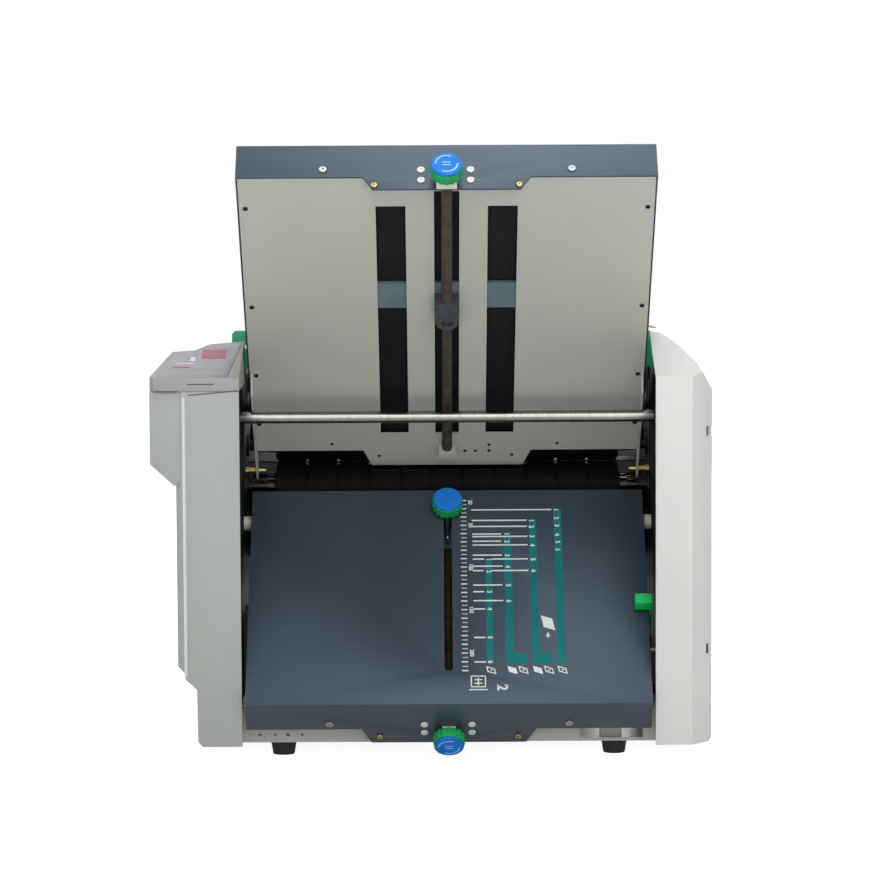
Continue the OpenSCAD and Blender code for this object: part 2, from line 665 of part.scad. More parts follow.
module drive_motor() in_frame() color(steel) {
    bar(motor_axis, motor_r, -frame_x + 6, -frame_x + 106);
    bar(motor_axis, motor_r - 8, -frame_x + 106, -frame_x + 114);
    translate([-frame_x, motor_axis[0] - 35, motor_axis[1] - 35]) cube([6, 70, 70]);
    difference() {
        bar(motor_axis, 15.8, -frame_out - 1, -frame_x);
        bar(motor_axis, 4 + run_gap, -frame_out - 2, -frame_x + 1);
    }
}
module motor_pulley() in_frame() color(steel) {
    pulley(motor_axis, motor_pulley_r, -pulley_x - pulley_w, 4);
    bar(motor_axis, 4, -pulley_x - pulley_w - 1, -frame_x - 0.5);
}
module drive_belt() in_frame() color(rubber)
    across(-pulley_x - pulley_w + 1.6, -pulley_x - 1.6)
        belt_loop(axis_2, drive_pulley_r + move_gap, motor_axis, motor_pulley_r + move_gap, belt_t);
module feed_belt() in_frame() color(rubber)
    across(pulley_x + 1.6, pulley_x + pulley_w - 1.6)
        belt_loop(axis_1, small_pulley_r + move_gap, feed_axis, feed_pulley_r + move_gap, belt_t);
module delivery_drive_belt() in_frame() color(rubber)
    across(pulley_x + 1.6, pulley_x + pulley_w - 1.6)
        belt_loop(axis_4, small_pulley_r + move_gap, front_axis, small_pulley_r + move_gap, belt_t);

// ---------------------------------------------------------------- feeder

module feed_roller() in_frame() {
    color(steel) bar(feed_axis, journal_r, -plain_end, pulley_end);
    color(steel) bar(feed_axis, journal_r + 2, -frame_x + 4, frame_x - 4);
    color(rubber) for (x = [-45, 0, 45]) bar(feed_axis, feed_r, x - feed_wheel_w / 2, x + feed_wheel_w / 2);
    color(dark) pulley(feed_axis, feed_pulley_r, pulley_x, journal_r - eps);
}

// Sprung arm that turns on a tie bar and presses its pad up under the middle feed wheel
module retard_arm() in_frame() color(dark) difference() {
    union() {
        bar(retard_axis, tie_d / 2 + 3.5, -14, 14);
        across(-14, 14) polygon([retard_axis + [2, 7], retard_axis - [4, 7], [feed_y - 11, table_z - 15],
                                 [feed_y - 11, table_z - 2], [feed_y + 9, table_z - 2]]);
        translate([-13, feed_y - 10, table_z - 2 - eps]) cube([26, 18, 2.4]);
    }
    bar(retard_axis, tie_d / 2 + run_gap, -20, 20);
}

// Hinged plate under the front of the stack, pushed up against the feed wheels
module lift_plate() in_frame() color(beige) {
    difference() {
        translate([-table_w / 2, lift_front, table_z - 1.5])
            cube([table_w, lift_axis[0] - 1 - lift_front, 1.5]);
        translate([-20, lift_front - 1, table_z - 3]) cube([40, 22, 6]);
    }
    both_sides() across(table_w / 2 - 2, table_w / 2)
        polygon([[lift_front + 34, table_z - 1], [lift_front + 50, table_z - 9],
                 lift_axis + [2, -5], lift_axis + [5, 0], lift_axis + [0, 2.9]]);
    both_sides() bar(lift_axis, 3, table_w / 2 - 1, frame_out);
}

module feed_table() in_frame() color(beige) {
    front = lift_axis[0] + 6;
    difference() {
        union() {
            translate([-table_w / 2, front, table_z - 1.5]) cube([table_w, table_back - front, 1.5]);
            for (s = [-1, 1]) translate([s * (table_w - 1.5) / 2 - 0.75, frame_back + 8, table_z - 26])
                cube([1.5, table_back - frame_back - 8, 26]);
            translate([-table_w / 2, table_back - 1.5, table_z - 26]) cube([table_w, 1.5, 26]);
            // back panel between the frames, down to the delivery's opening
            translate([-frame_x, frame_back - 12, table_z - 66]) cube([2 * frame_x, 1.5, 66]);
            both_sides() translate([frame_x - 1.5, frame_back - 12, table_z - 66]) cube([1.5, 11, 66]);
        }
        for (s = [-1, 1], y = [frame_back + 36, frame_back + 116])
            translate([s * 98 - 56, y - 4, table_z - 5]) cube([112, 8, 10]);
    }
}

// Side guide: a wall on the table with a foot, and a clamp stud through the table's slot
module side_guide(s) {
    z0 = table_z + move_gap;
    translate([s > 0 ? guide_at : -guide_at - 1.5, lift_front + 6, z0])
        cube([1.5, frame_back + 130 - lift_front, guide_h]);
    translate([s > 0 ? guide_at : -guide_at - 22, frame_back + 20, z0]) cube([22, 116, 1.5]);
    for (y = [frame_back + 36, frame_back + 116]) translate([s * (guide_at + 11), y, table_z - 14]) {
        cylinder(h = 16, r = 3.4);
        cylinder(h = 11, r = 7);
    }
}
module side_guide_left() in_frame() color(pale) side_guide(-1);
module side_guide_right() in_frame() color(pale) side_guide(1);

// Hood over the feed wheels and the top fold roller. It swings up about pins at its back edge.
module infeed_hood() in_frame() color(pale) {
    top = hood_axis[1];
    path = [[216, top - 34], [216, top - 14], [236, top + 4], [hood_axis[0] - 6, top + 4],
            [hood_axis[0] + 2, top - 6], [hood_axis[0] + 2, top - 20]];
    across(-frame_x + 7.5, frame_x - 7.5) bent_sheet(path, 2.5);
    both_sides() {
        across(frame_x - 9, frame_x - 7) polygon([[216, top - 34], [216, top - 14], [236, top + 4],
            [hood_axis[0] - 6, top + 4], [hood_axis[0] + 2, top - 6], [hood_axis[0] + 2, top - 20],
            [hood_axis[0] - 20, top - 14], [250, top - 20], [238, top - 34]]);
        bar(hood_axis, 3, frame_x - 8, frame_out);
        bar(hood_axis, 6, frame_x - 8, frame_x - 1);
    }
}

// ---------------------------------------------------------------- delivery

// A sheet guide into the first nip, and two bent guides that lead the folded sheet from
// the last nip down to the delivery belts
module paper_guides() in_frame() color(steel) across(-frame_x, frame_x) {
    nip = axis_2 - [0, drive_r];
    bent_sheet([[axis_2[0] + 22.4, table_z - 1.5], [feed_y - 14, table_z - 0.6]], sheet_t);
    bent_sheet([nip + [24, 9], nip + [38, 6], [delivery_y + 16, delivery_z + 30]], sheet_t);
    bent_sheet([nip + [21, -7], nip + [32, -11], [delivery_y - 16, delivery_z + 18]], sheet_t);
}

module along_delivery() translate([0, delivery_y, delivery_z]) rotate([delivery_slope, 0, 0]) children();

module delivery_frame() in_frame() color(beige) {
    rail_x = 155;
    along_delivery() {
        both_sides() difference() {
            translate([rail_x, 24, -9]) cube([2, delivery_run - 12, 18]);
            translate([rail_x - 4, delivery_run, 0]) rotate([0, 90, 0]) cylinder(h = 12, r = 4 + run_gap);
        }
        translate([-rail_x - 1, 26, 4]) cube([2 * rail_x + 2, delivery_run - 46, 1.5]);
    }
    bar_at = front_axis + [38, -6];
    translate([-frame_x, bar_at[0] - 5, bar_at[1] - 5]) cube([2 * frame_x, 10, 10]);
}

belt_places = [-120, -45, 45, 120];
module delivery_drive_roller() in_frame() {
    color(steel) bar(front_axis, journal_r, -plain_end, pulley_end);
    color(dark) pulley(front_axis, small_pulley_r, pulley_x, journal_r - eps);
    color(steel) bar(front_axis, journal_r + 2, -frame_x + 4, frame_x - 4);
    color(rubber) for (x = belt_places) bar(front_axis, delivery_r, x - belt_w / 2 - 3, x + belt_w / 2 + 3);
}
module delivery_idler() in_frame() {
    color(steel) bar(back_axis, 4, -158.5, 158.5);
    color(dark) for (x = belt_places) bar(back_axis, delivery_r, x - belt_w / 2 - 3, x + belt_w / 2 + 3);
}
module delivery_belts() in_frame() color(rubber) for (x = belt_places)
    across(x - belt_w / 2, x + belt_w / 2) belt_loop(front_axis, belt_r, back_axis, belt_r, belt_t);

// ---------------------------------------------------------------- levers

// Green release lever of the upper plate: outside blade, shaft through the frame, inside cam
module release_lever() {
    blade_x = frame_out + 1.5;
    head_w = 15.5;
    head_z = 348;
    tip_z = 384;
    bar(release_axis, 5, plate_w / 2 + 2, blade_x + 3);
    bar(release_axis, 12, plate_w / 2 + 1.5, plate_w / 2 + 6);
    across(blade_x, blade_x + 3) {
        translate(release_axis) circle(r = 10);
        translate(release_axis - [5, 0]) square([10, head_z - release_axis[1] + 2]);
    }
    difference() {
        translate([frame_x - 3.5, release_axis[0] - 8, head_z]) cube([head_w, 14, tip_z - head_z]);
        translate([frame_x - 3.5 + head_w, release_axis[0], tip_z]) rotate([0, 45, 0])
            cube([4, 30, 4], center = true);
    }
}
module release_lever_left() in_frame() color(green) mirror([1, 0, 0]) release_lever();
module release_lever_right() in_frame() color(green) release_lever();

// ---------------------------------------------------------------- covers and console

// A cover is where three outlines meet: side view, front view and plan.
// inset moves every outline in by the wall for the hollow.
rear_slope = 60;
module side_view(top, inset) polygon([
    [inset, cover_lift - 1], [inset, cover_front_h - inset], [console_depth, top - inset],
    [cover_depth - 110, top - inset], [cover_depth - inset, top - rear_slope - inset],
    [cover_depth - inset, cover_lift - 1]]);

module right_front_view(inset) polygon([
    [cover_x - 1, cover_lift - inset], [right_out - 3 - inset, cover_lift - inset],
    [right_out - inset, cover_lift + 4],
    [right_out - inset, 339], [right_out - 13 - inset, 362 - inset], [right_out - 27 - inset, 376 - inset],
    [right_out - 41 - inset, right_cover_h - 1 - inset], [cover_x - 1, right_cover_h + 1 - inset]]);

module left_front_view(inset) polygon([
    [cover_x - 1, cover_lift - inset], [left_out - 22 - inset, cover_lift - inset],
    [left_out - 18 - inset, cover_lift + 5], [left_out - 17.5 - inset, 67.5], [left_out - 7 - inset, 77],
    [left_out - 6.5 - inset, 83], [left_out - inset, 88], [left_out - inset, 344],
    [left_out - 11 - inset, 358 - inset], [left_out - 25 - inset, 368 - inset],
    [left_out - 42 - inset, left_cover_h - inset], [cover_x - 1, left_cover_h + 1 - inset]]);

module plan_view(out, corner, inset) polygon([
    [cover_x - (inset > 0 ? 2 : 0), inset], [out - corner - inset / 2, inset],
    [out - inset, corner + inset / 2],
    [out - inset, cover_depth - 14], [out - 14, cover_depth - inset],
    [cover_x - (inset > 0 ? 2 : 0), cover_depth - inset]]);

module cover_form(top, out, corner, inset) intersection() {
    across(cover_x - 3, out + 5) side_view(top, inset);
    translate([0, -5, 0]) mirror([0, 1, 0]) rotate([90, 0, 0]) linear_extrude(cover_depth + 10) children();
    linear_extrude(top + 20) plan_view(out, corner, inset);
}

// Opening in the top edge for the green lever's travel
module lever_notch() translate([cover_x - 2, release_axis[0] - 44, 340]) cube([19.5, 56, 80]);

// Screw bosses that stand each cover off its frame
boss_places = [[60, 104], [134, 325], [400, 104], [400, 276]];
module cover_bosses(out) for (p = boss_places) bar(p, 6, frame_out, out - cover_wall + eps);

module right_cover() in_frame() color(pale) {
    cover_bosses(right_out);
    right_shell();
}
module right_shell() difference() {
    cover_form(right_cover_h + 3, right_out, 19, 0) right_front_view(0);
    cover_form(right_cover_h + 3, right_out, 19, cover_wall) right_front_view(cover_wall);
    lever_notch();
    // oval screw wells in the chamfer
    for (z = [101, 301]) translate([right_out - 6, 14, z]) rotate([0, 90, 45]) cylinder(h = 24, r = 5);
}

bulge_top = 340;
bulge_back = 76;
module bulge_outline(inset) polygon([
    [left_out - 8, 262 + inset], [left_out + 1, 254 + inset], [console_out - inset, 274 + inset],
    [console_out - inset, bulge_top + 1], [left_out - 8, bulge_top + 1]]);

module left_cover() in_frame() color(pale) mirror([1, 0, 0]) {
    cover_bosses(left_out);
    left_shell();
}
module left_shell() difference() {
    union() {
        cover_form(left_cover_h + 3, left_out, 6, 0) left_front_view(0);
        translate([0, 2, 0]) mirror([0, 1, 0]) rotate([90, 0, 0])
            linear_extrude(bulge_back - 2) bulge_outline(0);
    }
    cover_form(left_cover_h + 3, left_out, 6, cover_wall) left_front_view(cover_wall);
    translate([0, 2 + cover_wall, 0]) mirror([0, 1, 0]) rotate([90, 0, 0])
        linear_extrude(bulge_back - 2 - 2 * cover_wall) bulge_outline(cover_wall);
    // the console closes this corner
    translate([cover_x - 5, -5, bulge_top]) cube([left_cover_w + console_bulge + 9, console_depth + 5.3, 60]);
    lever_notch();
}

// Control console: a lid with a sloping top, stepped at its outer back corner
module console_plan(inset) polygon([
    [cover_x + inset, inset], [console_out - 4 - inset, inset], [console_out - inset, 6 + inset],
    [console_out - inset, bulge_back - inset], [left_out - 14 - inset, bulge_back + 4 - inset],
    [left_out - 26 - inset, console_depth - 8 - inset], [cover_x + inset, console_depth - inset]]);
console_rise = 27.5;
module console_side(inset) polygon([
    [-1, bulge_top + move_gap], [-1, cover_front_h - inset - console_rise / console_depth],
    [console_depth + 1, cover_front_h - inset + console_rise * (console_depth + 1) / console_depth],
    [console_depth + 1, bulge_top + move_gap]]);

module control_console() in_frame() color(pale) mirror([1, 0, 0]) difference() {
    intersection() {
        across(cover_x - 1, console_out + 1) console_side(0);
        linear_extrude(500) console_plan(0);
    }
    translate([0, 0, -1]) intersection() {
        across(cover_x - 1, console_out + 1) console_side(2);
        linear_extrude(500) console_plan(2.5);
    }
    console_face(0) membrane_outline(0.3);
}

// The console's sloping face as a working plane: x across, y up the slope
console_tilt = atan(console_rise / console_depth);
module console_face(z) translate([0, 0, cover_front_h]) rotate([console_tilt, 0, 0])
    translate([0, 0, z - 0.6]) linear_extrude(5) children();

module membrane_outline(grow) {
    up = 1 / cos(console_tilt);
    polygon([[cover_x + 10.5 - grow, 4 - grow], [console_out - 6 + grow, 4 - grow],
             [console_out - 12 + grow, 70 * up + grow], [left_out - 18 + grow, 77 * up + grow],
             [left_out - 28 + grow, 93 * up + grow], [cover_x + 3 - grow, 98 * up + grow]]);
}

module display_outline() translate([cover_x + 15, 58]) square([22, 24]);

module panel_membrane() in_frame() color([0.52, 0.53, 0.56]) mirror([1, 0, 0]) difference() {
    intersection() {
        console_face(0) membrane_outline(0);
        translate([0, 0, cover_front_h]) rotate([console_tilt, 0, 0]) translate([0, -5, -0.6])
            cube([console_out + 20, console_depth + 20, 0.8]);
    }
    console_face(-1) display_outline();
}

module display_window() in_frame() color([0.75, 0.08, 0.12]) mirror([1, 0, 0])
    translate([0, 0, cover_front_h]) rotate([console_tilt, 0, 0]) translate([0, 0, -0.6])
        linear_extrude(1.2) display_outline();

// ---------------------------------------------------------------- power

module power_inlet() in_frame() color(dark) {
    difference() {
        union() {
            translate([-145, frame_back, foot_h + 1]) cube([50, 3, 28]);
            translate([-133, frame_back - 20, foot_h + 5]) cube([26, 21, 20]);
        }
        translate([-131, frame_back - 16, foot_h + 7]) cube([22, 30, 16]);
    }
    for (x = [-126, -120, -114]) translate([x - 1, frame_back - 17, foot_h + 12]) cube([2, 13, 5]);
    difference() {
        union() {
            translate([-95, frame_back, foot_h + 4]) cube([25, 2, 22]);
            translate([-93, frame_back - 16, foot_h + 6]) cube([21, 17, 18]);
        }
        translate([-91, frame_back - 13, foot_h + 8]) cube([17, 30, 14]);
    }
}

rocker_axis = [frame_back - 3, foot_h + 15];
module power_rocker() in_frame() color(dark) across(-90.5, -74.5) difference() {
    translate(rocker_axis) circle(r = 6.6);
    translate(rocker_axis + [4.4, -10]) rotate(8) square([10, 20]);
    translate(rocker_axis + [-18, -10]) square([14, 20]);
}

base_pan();
left_frame();
right_frame();
left_cover();
right_cover();
control_console();
panel_membrane();
display_window();
rubber_feet();
rest_bar();
tie_bars();
hook_pins();
plate_2_pivots();
shaft_bushes();
paper_guides();
drive_motor();
motor_pulley();
drive_belt();
feed_belt();
delivery_drive_belt();
power_inlet();
power_rocker();
fold_roller_1();
fold_roller_2();
fold_roller_3();
fold_roller_4();
roller_gear_1();
roller_gear_2();
roller_gear_3();
roller_gear_4();
feed_roller();
retard_arm();
lift_plate();
feed_table();
side_guide_left();
side_guide_right();
infeed_hood();
delivery_frame();
delivery_drive_roller();
delivery_idler();
delivery_belts();
plate_1_cover();
plate_1_guide();
plate_1_floor();
plate_1_stop();
plate_1_lock_knob();
plate_1_adjust_rod();
plate_1_end_knob();
plate_1_rod_block();
plate_2_cover();
plate_2_guide();
plate_2_floor();
plate_2_stop();
plate_2_lock_knob();
plate_2_adjust_rod();
plate_2_end_knob();
plate_2_rod_block();
release_lever_left();
release_lever_right();
plate_2_latch();
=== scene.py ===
import json
import math
import bpy
import bmesh
from mathutils import Matrix, Vector


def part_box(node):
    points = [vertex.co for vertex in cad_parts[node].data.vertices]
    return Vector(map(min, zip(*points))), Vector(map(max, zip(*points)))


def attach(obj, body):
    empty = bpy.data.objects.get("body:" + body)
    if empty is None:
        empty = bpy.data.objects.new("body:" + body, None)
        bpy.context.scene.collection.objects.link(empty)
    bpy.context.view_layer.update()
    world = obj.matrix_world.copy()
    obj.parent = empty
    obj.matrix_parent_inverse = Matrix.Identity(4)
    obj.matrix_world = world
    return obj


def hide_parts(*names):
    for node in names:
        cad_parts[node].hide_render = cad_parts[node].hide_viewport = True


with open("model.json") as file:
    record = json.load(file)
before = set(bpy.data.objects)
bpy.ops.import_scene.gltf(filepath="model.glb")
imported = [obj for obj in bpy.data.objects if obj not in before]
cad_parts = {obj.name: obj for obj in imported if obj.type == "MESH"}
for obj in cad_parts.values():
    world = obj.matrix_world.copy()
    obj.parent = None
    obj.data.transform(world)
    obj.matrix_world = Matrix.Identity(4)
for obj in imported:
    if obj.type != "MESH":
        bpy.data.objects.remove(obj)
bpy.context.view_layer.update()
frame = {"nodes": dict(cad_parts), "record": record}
cadNodes = frame["nodes"]
mm = 0.001
half = math.sqrt(0.5)

midX = 0.0145                              # middle of the plates
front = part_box("right_cover")[0].y         # front faces of the side covers
weld = 0.00001                             # metres, joins the doubled corners of a mesh

# as the solids, in mm: how long the plates are, how deep their covers, and the rods below their floors
upperLength, lowerLength, plateDepth, rodDrop = 374, 250, 39, 5.2


def plateFrame(y, z, lean):
    # x across, y back to the mouth, z away from the plate's floor; lean is 1 or -1
    return Matrix(((1, 0, 0, midX), (0, half, lean * half, y), (0, -lean * half, half, z), (0, 0, 0, 1)))


upperPlate = plateFrame(front + 0.179437, 0.2698209, 1)
lowerPlate = plateFrame(front + 0.1909275, 0.2050145, -1)


def rodPoint(plate, at):
    # on the axis of a plate's rod, at millimetres from the mouth, z pointing out of the plate's end
    return plate @ Matrix.Translation((0, -at * mm, -rodDrop * mm)) @ Matrix.Rotation(math.radians(90), 4, "X")


def coverPoint(plate, at, lift):
    # on the middle line of a plate's cover, lift millimetres above the sheet
    return plate @ Matrix.Translation((0, -at * mm, (plateDepth + lift) * mm))


print("frame loaded")


# small helpers

def deselectAll():
    if bpy.context.mode != "OBJECT":
        bpy.ops.object.mode_set(mode="OBJECT")
    bpy.ops.object.select_all(action="DESELECT")


def pick(obj):
    deselectAll()
    obj.select_set(True)
    bpy.context.view_layer.objects.active = obj


def settle(obj, place=None):
    # moves a piece to its place and leaves its origin at zero
    if place is not None:
        obj.matrix_world = place @ obj.matrix_world
    pick(obj)
    bpy.ops.object.transform_apply(location=True, rotation=True, scale=True)
    return obj


def joinAs(parts, name):
    deselectAll()
    for part in parts:
        part.select_set(True)
    bpy.context.view_layer.objects.active = parts[0]
    if len(parts) > 1:
        bpy.ops.object.join()
    whole = bpy.context.view_layer.objects.active
    whole.name = name
    whole.data.name = name
    return whole


def addModifier(obj, kind, **settings):
    pick(obj)
    bpy.ops.object.modifier_add(type=kind)
    modifier = obj.modifiers[-1]
    for key, value in settings.items():
        setattr(modifier, key, value)
    bpy.ops.object.modifier_apply(modifier=modifier.name)


def roundEdges(obj, width, segments=3, angle=35):
    addModifier(obj, "BEVEL", width=width * mm, segments=segments, limit_method="ANGLE",
                angle_limit=math.radians(angle), harden_normals=False)
    pick(obj)
    bpy.ops.object.shade_smooth_by_angle(angle=math.radians(35))


def selectFaces(obj, wanted):
    # stays in edit mode, with only the faces that pass the test selected
    pick(obj)
    bpy.ops.object.mode_set(mode="EDIT")
    bpy.ops.mesh.select_mode(type="FACE")
    bpy.ops.mesh.select_all(action="DESELECT")
    mesh = bmesh.from_edit_mesh(obj.data)
    for face in mesh.faces:
        if wanted(face.calc_center_median(), face.normal):
            face.select_set(True)
    bmesh.update_edit_mesh(obj.data)


def selectVerts(obj, wanted):
    # the same for corners
    pick(obj)
    bpy.ops.object.mode_set(mode="EDIT")
    bpy.ops.mesh.select_mode(type="VERT")
    bpy.ops.mesh.select_all(action="DESELECT")
    mesh = bmesh.from_edit_mesh(obj.data)
    for vert in mesh.verts:
        if wanted(vert.co):
            vert.select_set(True)
    mesh.select_flush(True)
    bmesh.update_edit_mesh(obj.data)


def addDisc(radius, height, sides, name):
    # stands on the origin
    deselectAll()
    bpy.ops.mesh.primitive_cylinder_add(vertices=sides, radius=radius * mm, depth=height * mm,
                                        location=(0, 0, height / 2 * mm))
    disc = bpy.context.object
    disc.name = name
    return settle(disc)


def addBlock(size, at, name):
    # at is the middle of the block
    deselectAll()
    bpy.ops.mesh.primitive_cube_add(size=1, location=[v * mm for v in at])
    block = bpy.context.object
    block.scale = [v * mm for v in size]
    block.name = name
    return settle(block)


def dress(obj, material):
    obj.data.materials.clear()
    obj.data.materials.append(material)


def finishPiece(obj, body, slotName, material, *hidden):
    dress(obj, material)
    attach(obj, body)
    if hidden:
        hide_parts(*hidden)


# materials

def linearColor(hexText, alpha=1.0):
    values = []
    for i in (0, 2, 4):
        c = int(hexText[i + 1:i + 3], 16) / 255
        values.append(c / 12.92 if c <= 0.04045 else ((c + 0.055) / 1.055) ** 2.4)
    return (*values, alpha)


def addNode(tree, kind, settings=None, **links):
    # settings go to the node or its sockets, links name the output that feeds each socket
    node = tree.nodes.new(kind)
    for key, value in (settings or {}).items():
        if isinstance(key, str) and hasattr(node, key):
            setattr(node, key, value)
        else:
            node.inputs[key].default_value = value
    for key, output in links.items():
        socket = node.inputs[int(key[1:])] if key[0] == "i" and key[1:].isdigit() else node.inputs[key]
        tree.links.new(output, socket)
    return node


def newMaterial(name, color, roughness, metallic=0.0, ior=None):
    material = bpy.data.materials.new(name)
    material.use_nodes = True
    tree = material.node_tree
    shader = tree.nodes["Principled BSDF"]
    shader.inputs["Base Color"].default_value = linearColor(color)
    shader.inputs["Roughness"].default_value = roughness
    shader.inputs["Metallic"].default_value = metallic
    if ior:
        shader.inputs["IOR"].default_value = ior
    return material, tree, shader


def objectPlace(tree, stretch=(1, 1, 1)):
    place = addNode(tree, "ShaderNodeTexCoord")
    return addNode(tree, "ShaderNodeMapping", {"Scale": stretch}, Vector=place.outputs["Object"]).outputs[0]


# toneSpan is where the two tones start in the noise, smudgeSize is a share of the patch size
mottle = {"toneDetail": 4.0, "toneSpan": (0.35, 0.65), "smudgeSize": 0.45, "smudgeDetail": 6.0,
          "grainDetail": 2.0, "grainStrength": 0.35}


def tintedNoise(tree, place, scale, low, high):
    noise = addNode(tree, "ShaderNodeTexNoise", {"Scale": scale, "Detail": mottle["toneDetail"]}, Vector=place)
    ramp = addNode(tree, "ShaderNodeValToRGB", Fac=noise.outputs["Fac"])
    for stop, at, tone in zip(ramp.color_ramp.elements, mottle["toneSpan"], (low, high)):
        stop.position = at
        stop.color = linearColor(tone)
    return noise, ramp


def spread(tree, value, low, high):
    # remaps a 0 to 1 pattern to a range of numbers
    return addNode(tree, "ShaderNodeMapRange", {"To Min": low, "To Max": high}, Value=value).outputs[0]


def bumpFrom(tree, shader, height, strength, distance):
    bump = addNode(tree, "ShaderNodeBump", {"Strength": strength, "Distance": distance}, Height=height)
    tree.links.new(bump.outputs[0], shader.inputs["Normal"])


def mottled(name, low, high, rough, grain, patch, metallic=0.0, stretch=(1, 1, 1), ior=None):
    # the common make-up: soft patches of tone, patchy gloss and a fine surface grain
    # rough is the roughness from and to, grain its size and depth in mm, patch a patch's size in mm
    material, tree, shader = newMaterial(name, low, rough[0], metallic, ior)
    place = objectPlace(tree, stretch)
    _, tones = tintedNoise(tree, place, 1000 / patch, low, high)
    tree.links.new(tones.outputs[0], shader.inputs["Base Color"])
    smudges = addNode(tree, "ShaderNodeTexNoise", {"Scale": 1000 / (patch * mottle["smudgeSize"]),
                                                   "Detail": mottle["smudgeDetail"]}, Vector=place)
    tree.links.new(spread(tree, smudges.outputs["Fac"], *rough), shader.inputs["Roughness"])
    fine = addNode(tree, "ShaderNodeTexNoise", {"Scale": 1000 / grain[0], "Detail": mottle["grainDetail"]},
                   Vector=place)
    bumpFrom(tree, shader, fine.outputs["Fac"], mottle["grainStrength"], grain[1] * mm)
    return material


def axisMask(tree, centre, radius):
    # 1 outside a radius from an axis along x, for rubber on a steel shaft
    place = addNode(tree, "ShaderNodeTexCoord")
    flat = addNode(tree, "ShaderNodeMapping", {"Location": (0, -centre[0], -centre[1]), "Scale": (0, 1, 1)},
                   Vector=place.outputs["Object"])
    reach = addNode(tree, "ShaderNodeVectorMath", {"operation": "LENGTH"}, i0=flat.outputs[0])
    outside = addNode(tree, "ShaderNodeMath", {"operation": "GREATER_THAN", 1: radius},
                      i0=reach.outputs["Value"])
    return outside.outputs[0]


def blendColors(tree, mask, first, second):
    mix = addNode(tree, "ShaderNodeMix", {"data_type": "RGBA"})
    for index, output in ((0, mask), (6, first), (7, second)):   # 6 and 7 are its colour sockets
        tree.links.new(output, mix.inputs[index])
    return mix.outputs[2]


# powder-coated sheet steel: an even satin skin with a faint orange peel
slatePaint = mottled("slate powder coat on steel", "#343f4a", "#37434e",
                     rough=(0.36, 0.42), grain=(1.6, 0.015), patch=140, ior=1.5)
slateShader = slatePaint.node_tree.nodes["Principled BSDF"]
slateShader.inputs["Specular Tint"].default_value = linearColor("#c6dcee")   # the coat's cool sheen
beigePaint = mottled("warm grey powder coat on steel", "#bbbdb3", "#bfc1b7",
                     rough=(0.30, 0.36), grain=(1.4, 0.012), patch=160, ior=1.5)
# black stoved paint on the black steel parts; the same black on the guides, lift plate and tie bars inside is
# painted shade
blackPaintAndShade = mottled("black stoved paint on steel", "#0b0c0f", "#111316",
                     rough=(0.55, 0.7), grain=(1.5, 0.02), patch=50, ior=1.3)
# injection-moulded ABS with a fine spark-eroded grain, matt but for the handled edges
paleAbs = mottled("pale moulded ABS", "#cfd2ce", "#d7dad6",
                  rough=(0.42, 0.54), grain=(1.1, 0.035), patch=150, ior=1.53)
# the left cover's ABS: a darker copy of the pale ABS
leftCoverAbs = mottled("light grey moulded ABS", "#a0a5a1", "#a5aaa6",
                  rough=(0.42, 0.54), grain=(1.1, 0.035), patch=150, ior=1.53)
lidAbs = mottled("grey moulded ABS lid", "#999c98", "#9ea19d",
                 rough=(0.42, 0.52), grain=(1.1, 0.03), patch=150, ior=1.5)
# dark strips that paint the shade of the lid's parting lines
seamShade = mottled("shaded parting line in ABS", "#4e524f", "#585c59",
                   rough=(0.6, 0.7), grain=(1.0, 0.01), patch=30, ior=1.5)
blackNylon = mottled("black moulded nylon", "#0c0d0e", "#121314",
                     rough=(0.5, 0.65), grain=(0.9, 0.03), patch=30, ior=1.36)
whiteNylon = mottled("natural white nylon", "#d8d8d0", "#e2e2db",
                     rough=(0.35, 0.5), grain=(0.9, 0.02), patch=25, ior=1.53)
greenAbs = mottled("green moulded ABS", "#0a9c50", "#0fa95a",
                   rough=(0.42, 0.52), grain=(1.0, 0.02), patch=20, ior=1.4)
# a brighter copy of the green ABS for the latch: painted light, as the latch sits in shade
latchGreenPaintedLight = mottled("green moulded ABS, latch", "#0fc660", "#13d069",
                   rough=(0.42, 0.52), grain=(1.0, 0.02), patch=20, ior=1.4)
blueCap = mottled("blue gloss ABS cap", "#0870cc", "#0c7ad6",
                  rough=(0.56, 0.64), grain=(1.2, 0.01), patch=18, ior=1.38)
# natural rubber: deep grey, matt, with a light bloom
footRubber = mottled("black natural rubber", "#0f1011", "#1a1b1c",
                     rough=(0.7, 0.85), grain=(0.8, 0.04), patch=12, ior=1.52)
beltRubber = mottled("ribbed polyurethane belt", "#0f1011", "#191a1b",
                     rough=(0.65, 0.8), grain=(1.0, 0.05), patch=20, ior=1.36)
# metals: the ground bar is bright, with grinding lines round it, and the rod threads are a dark brownish steel
groundSteel = mottled("ground bright steel", "#827f79", "#8d8a83",
                      rough=(0.16, 0.24), grain=(0.6, 0.004), patch=20, metallic=1.0, stretch=(6, 1, 1))
platedSteel = mottled("zinc-plated sheet steel", "#85898b", "#9a9ea0",
                      rough=(0.28, 0.42), grain=(1.2, 0.02), patch=35, metallic=1.0)
turnedBrass = mottled("turned brass", "#8f8254", "#a89a68",
                      rough=(0.22, 0.36), grain=(0.6, 0.01), patch=12, metallic=1.0, stretch=(6, 1, 1))
sinterBronze = mottled("oil-soaked sintered bronze", "#2e2415", "#3d301c",
                       rough=(0.42, 0.6), grain=(0.7, 0.03), patch=8, metallic=1.0)
threadSteel = mottled("oiled dark thread", "#4c4439", "#5c5245",
                      rough=(0.66, 0.8), grain=(0.8, 0.02), patch=9, metallic=0.7)
motorPaint = mottled("grey motor enamel", "#5d6062", "#686b6d",
                     rough=(0.35, 0.5), grain=(1.5, 0.03), patch=40, ior=1.5)
screwBlack = mottled("burnished black screw", "#1c1c1e", "#2b2b2d",
                     rough=(0.3, 0.45), grain=(0.6, 0.01), patch=6, metallic=0.6)
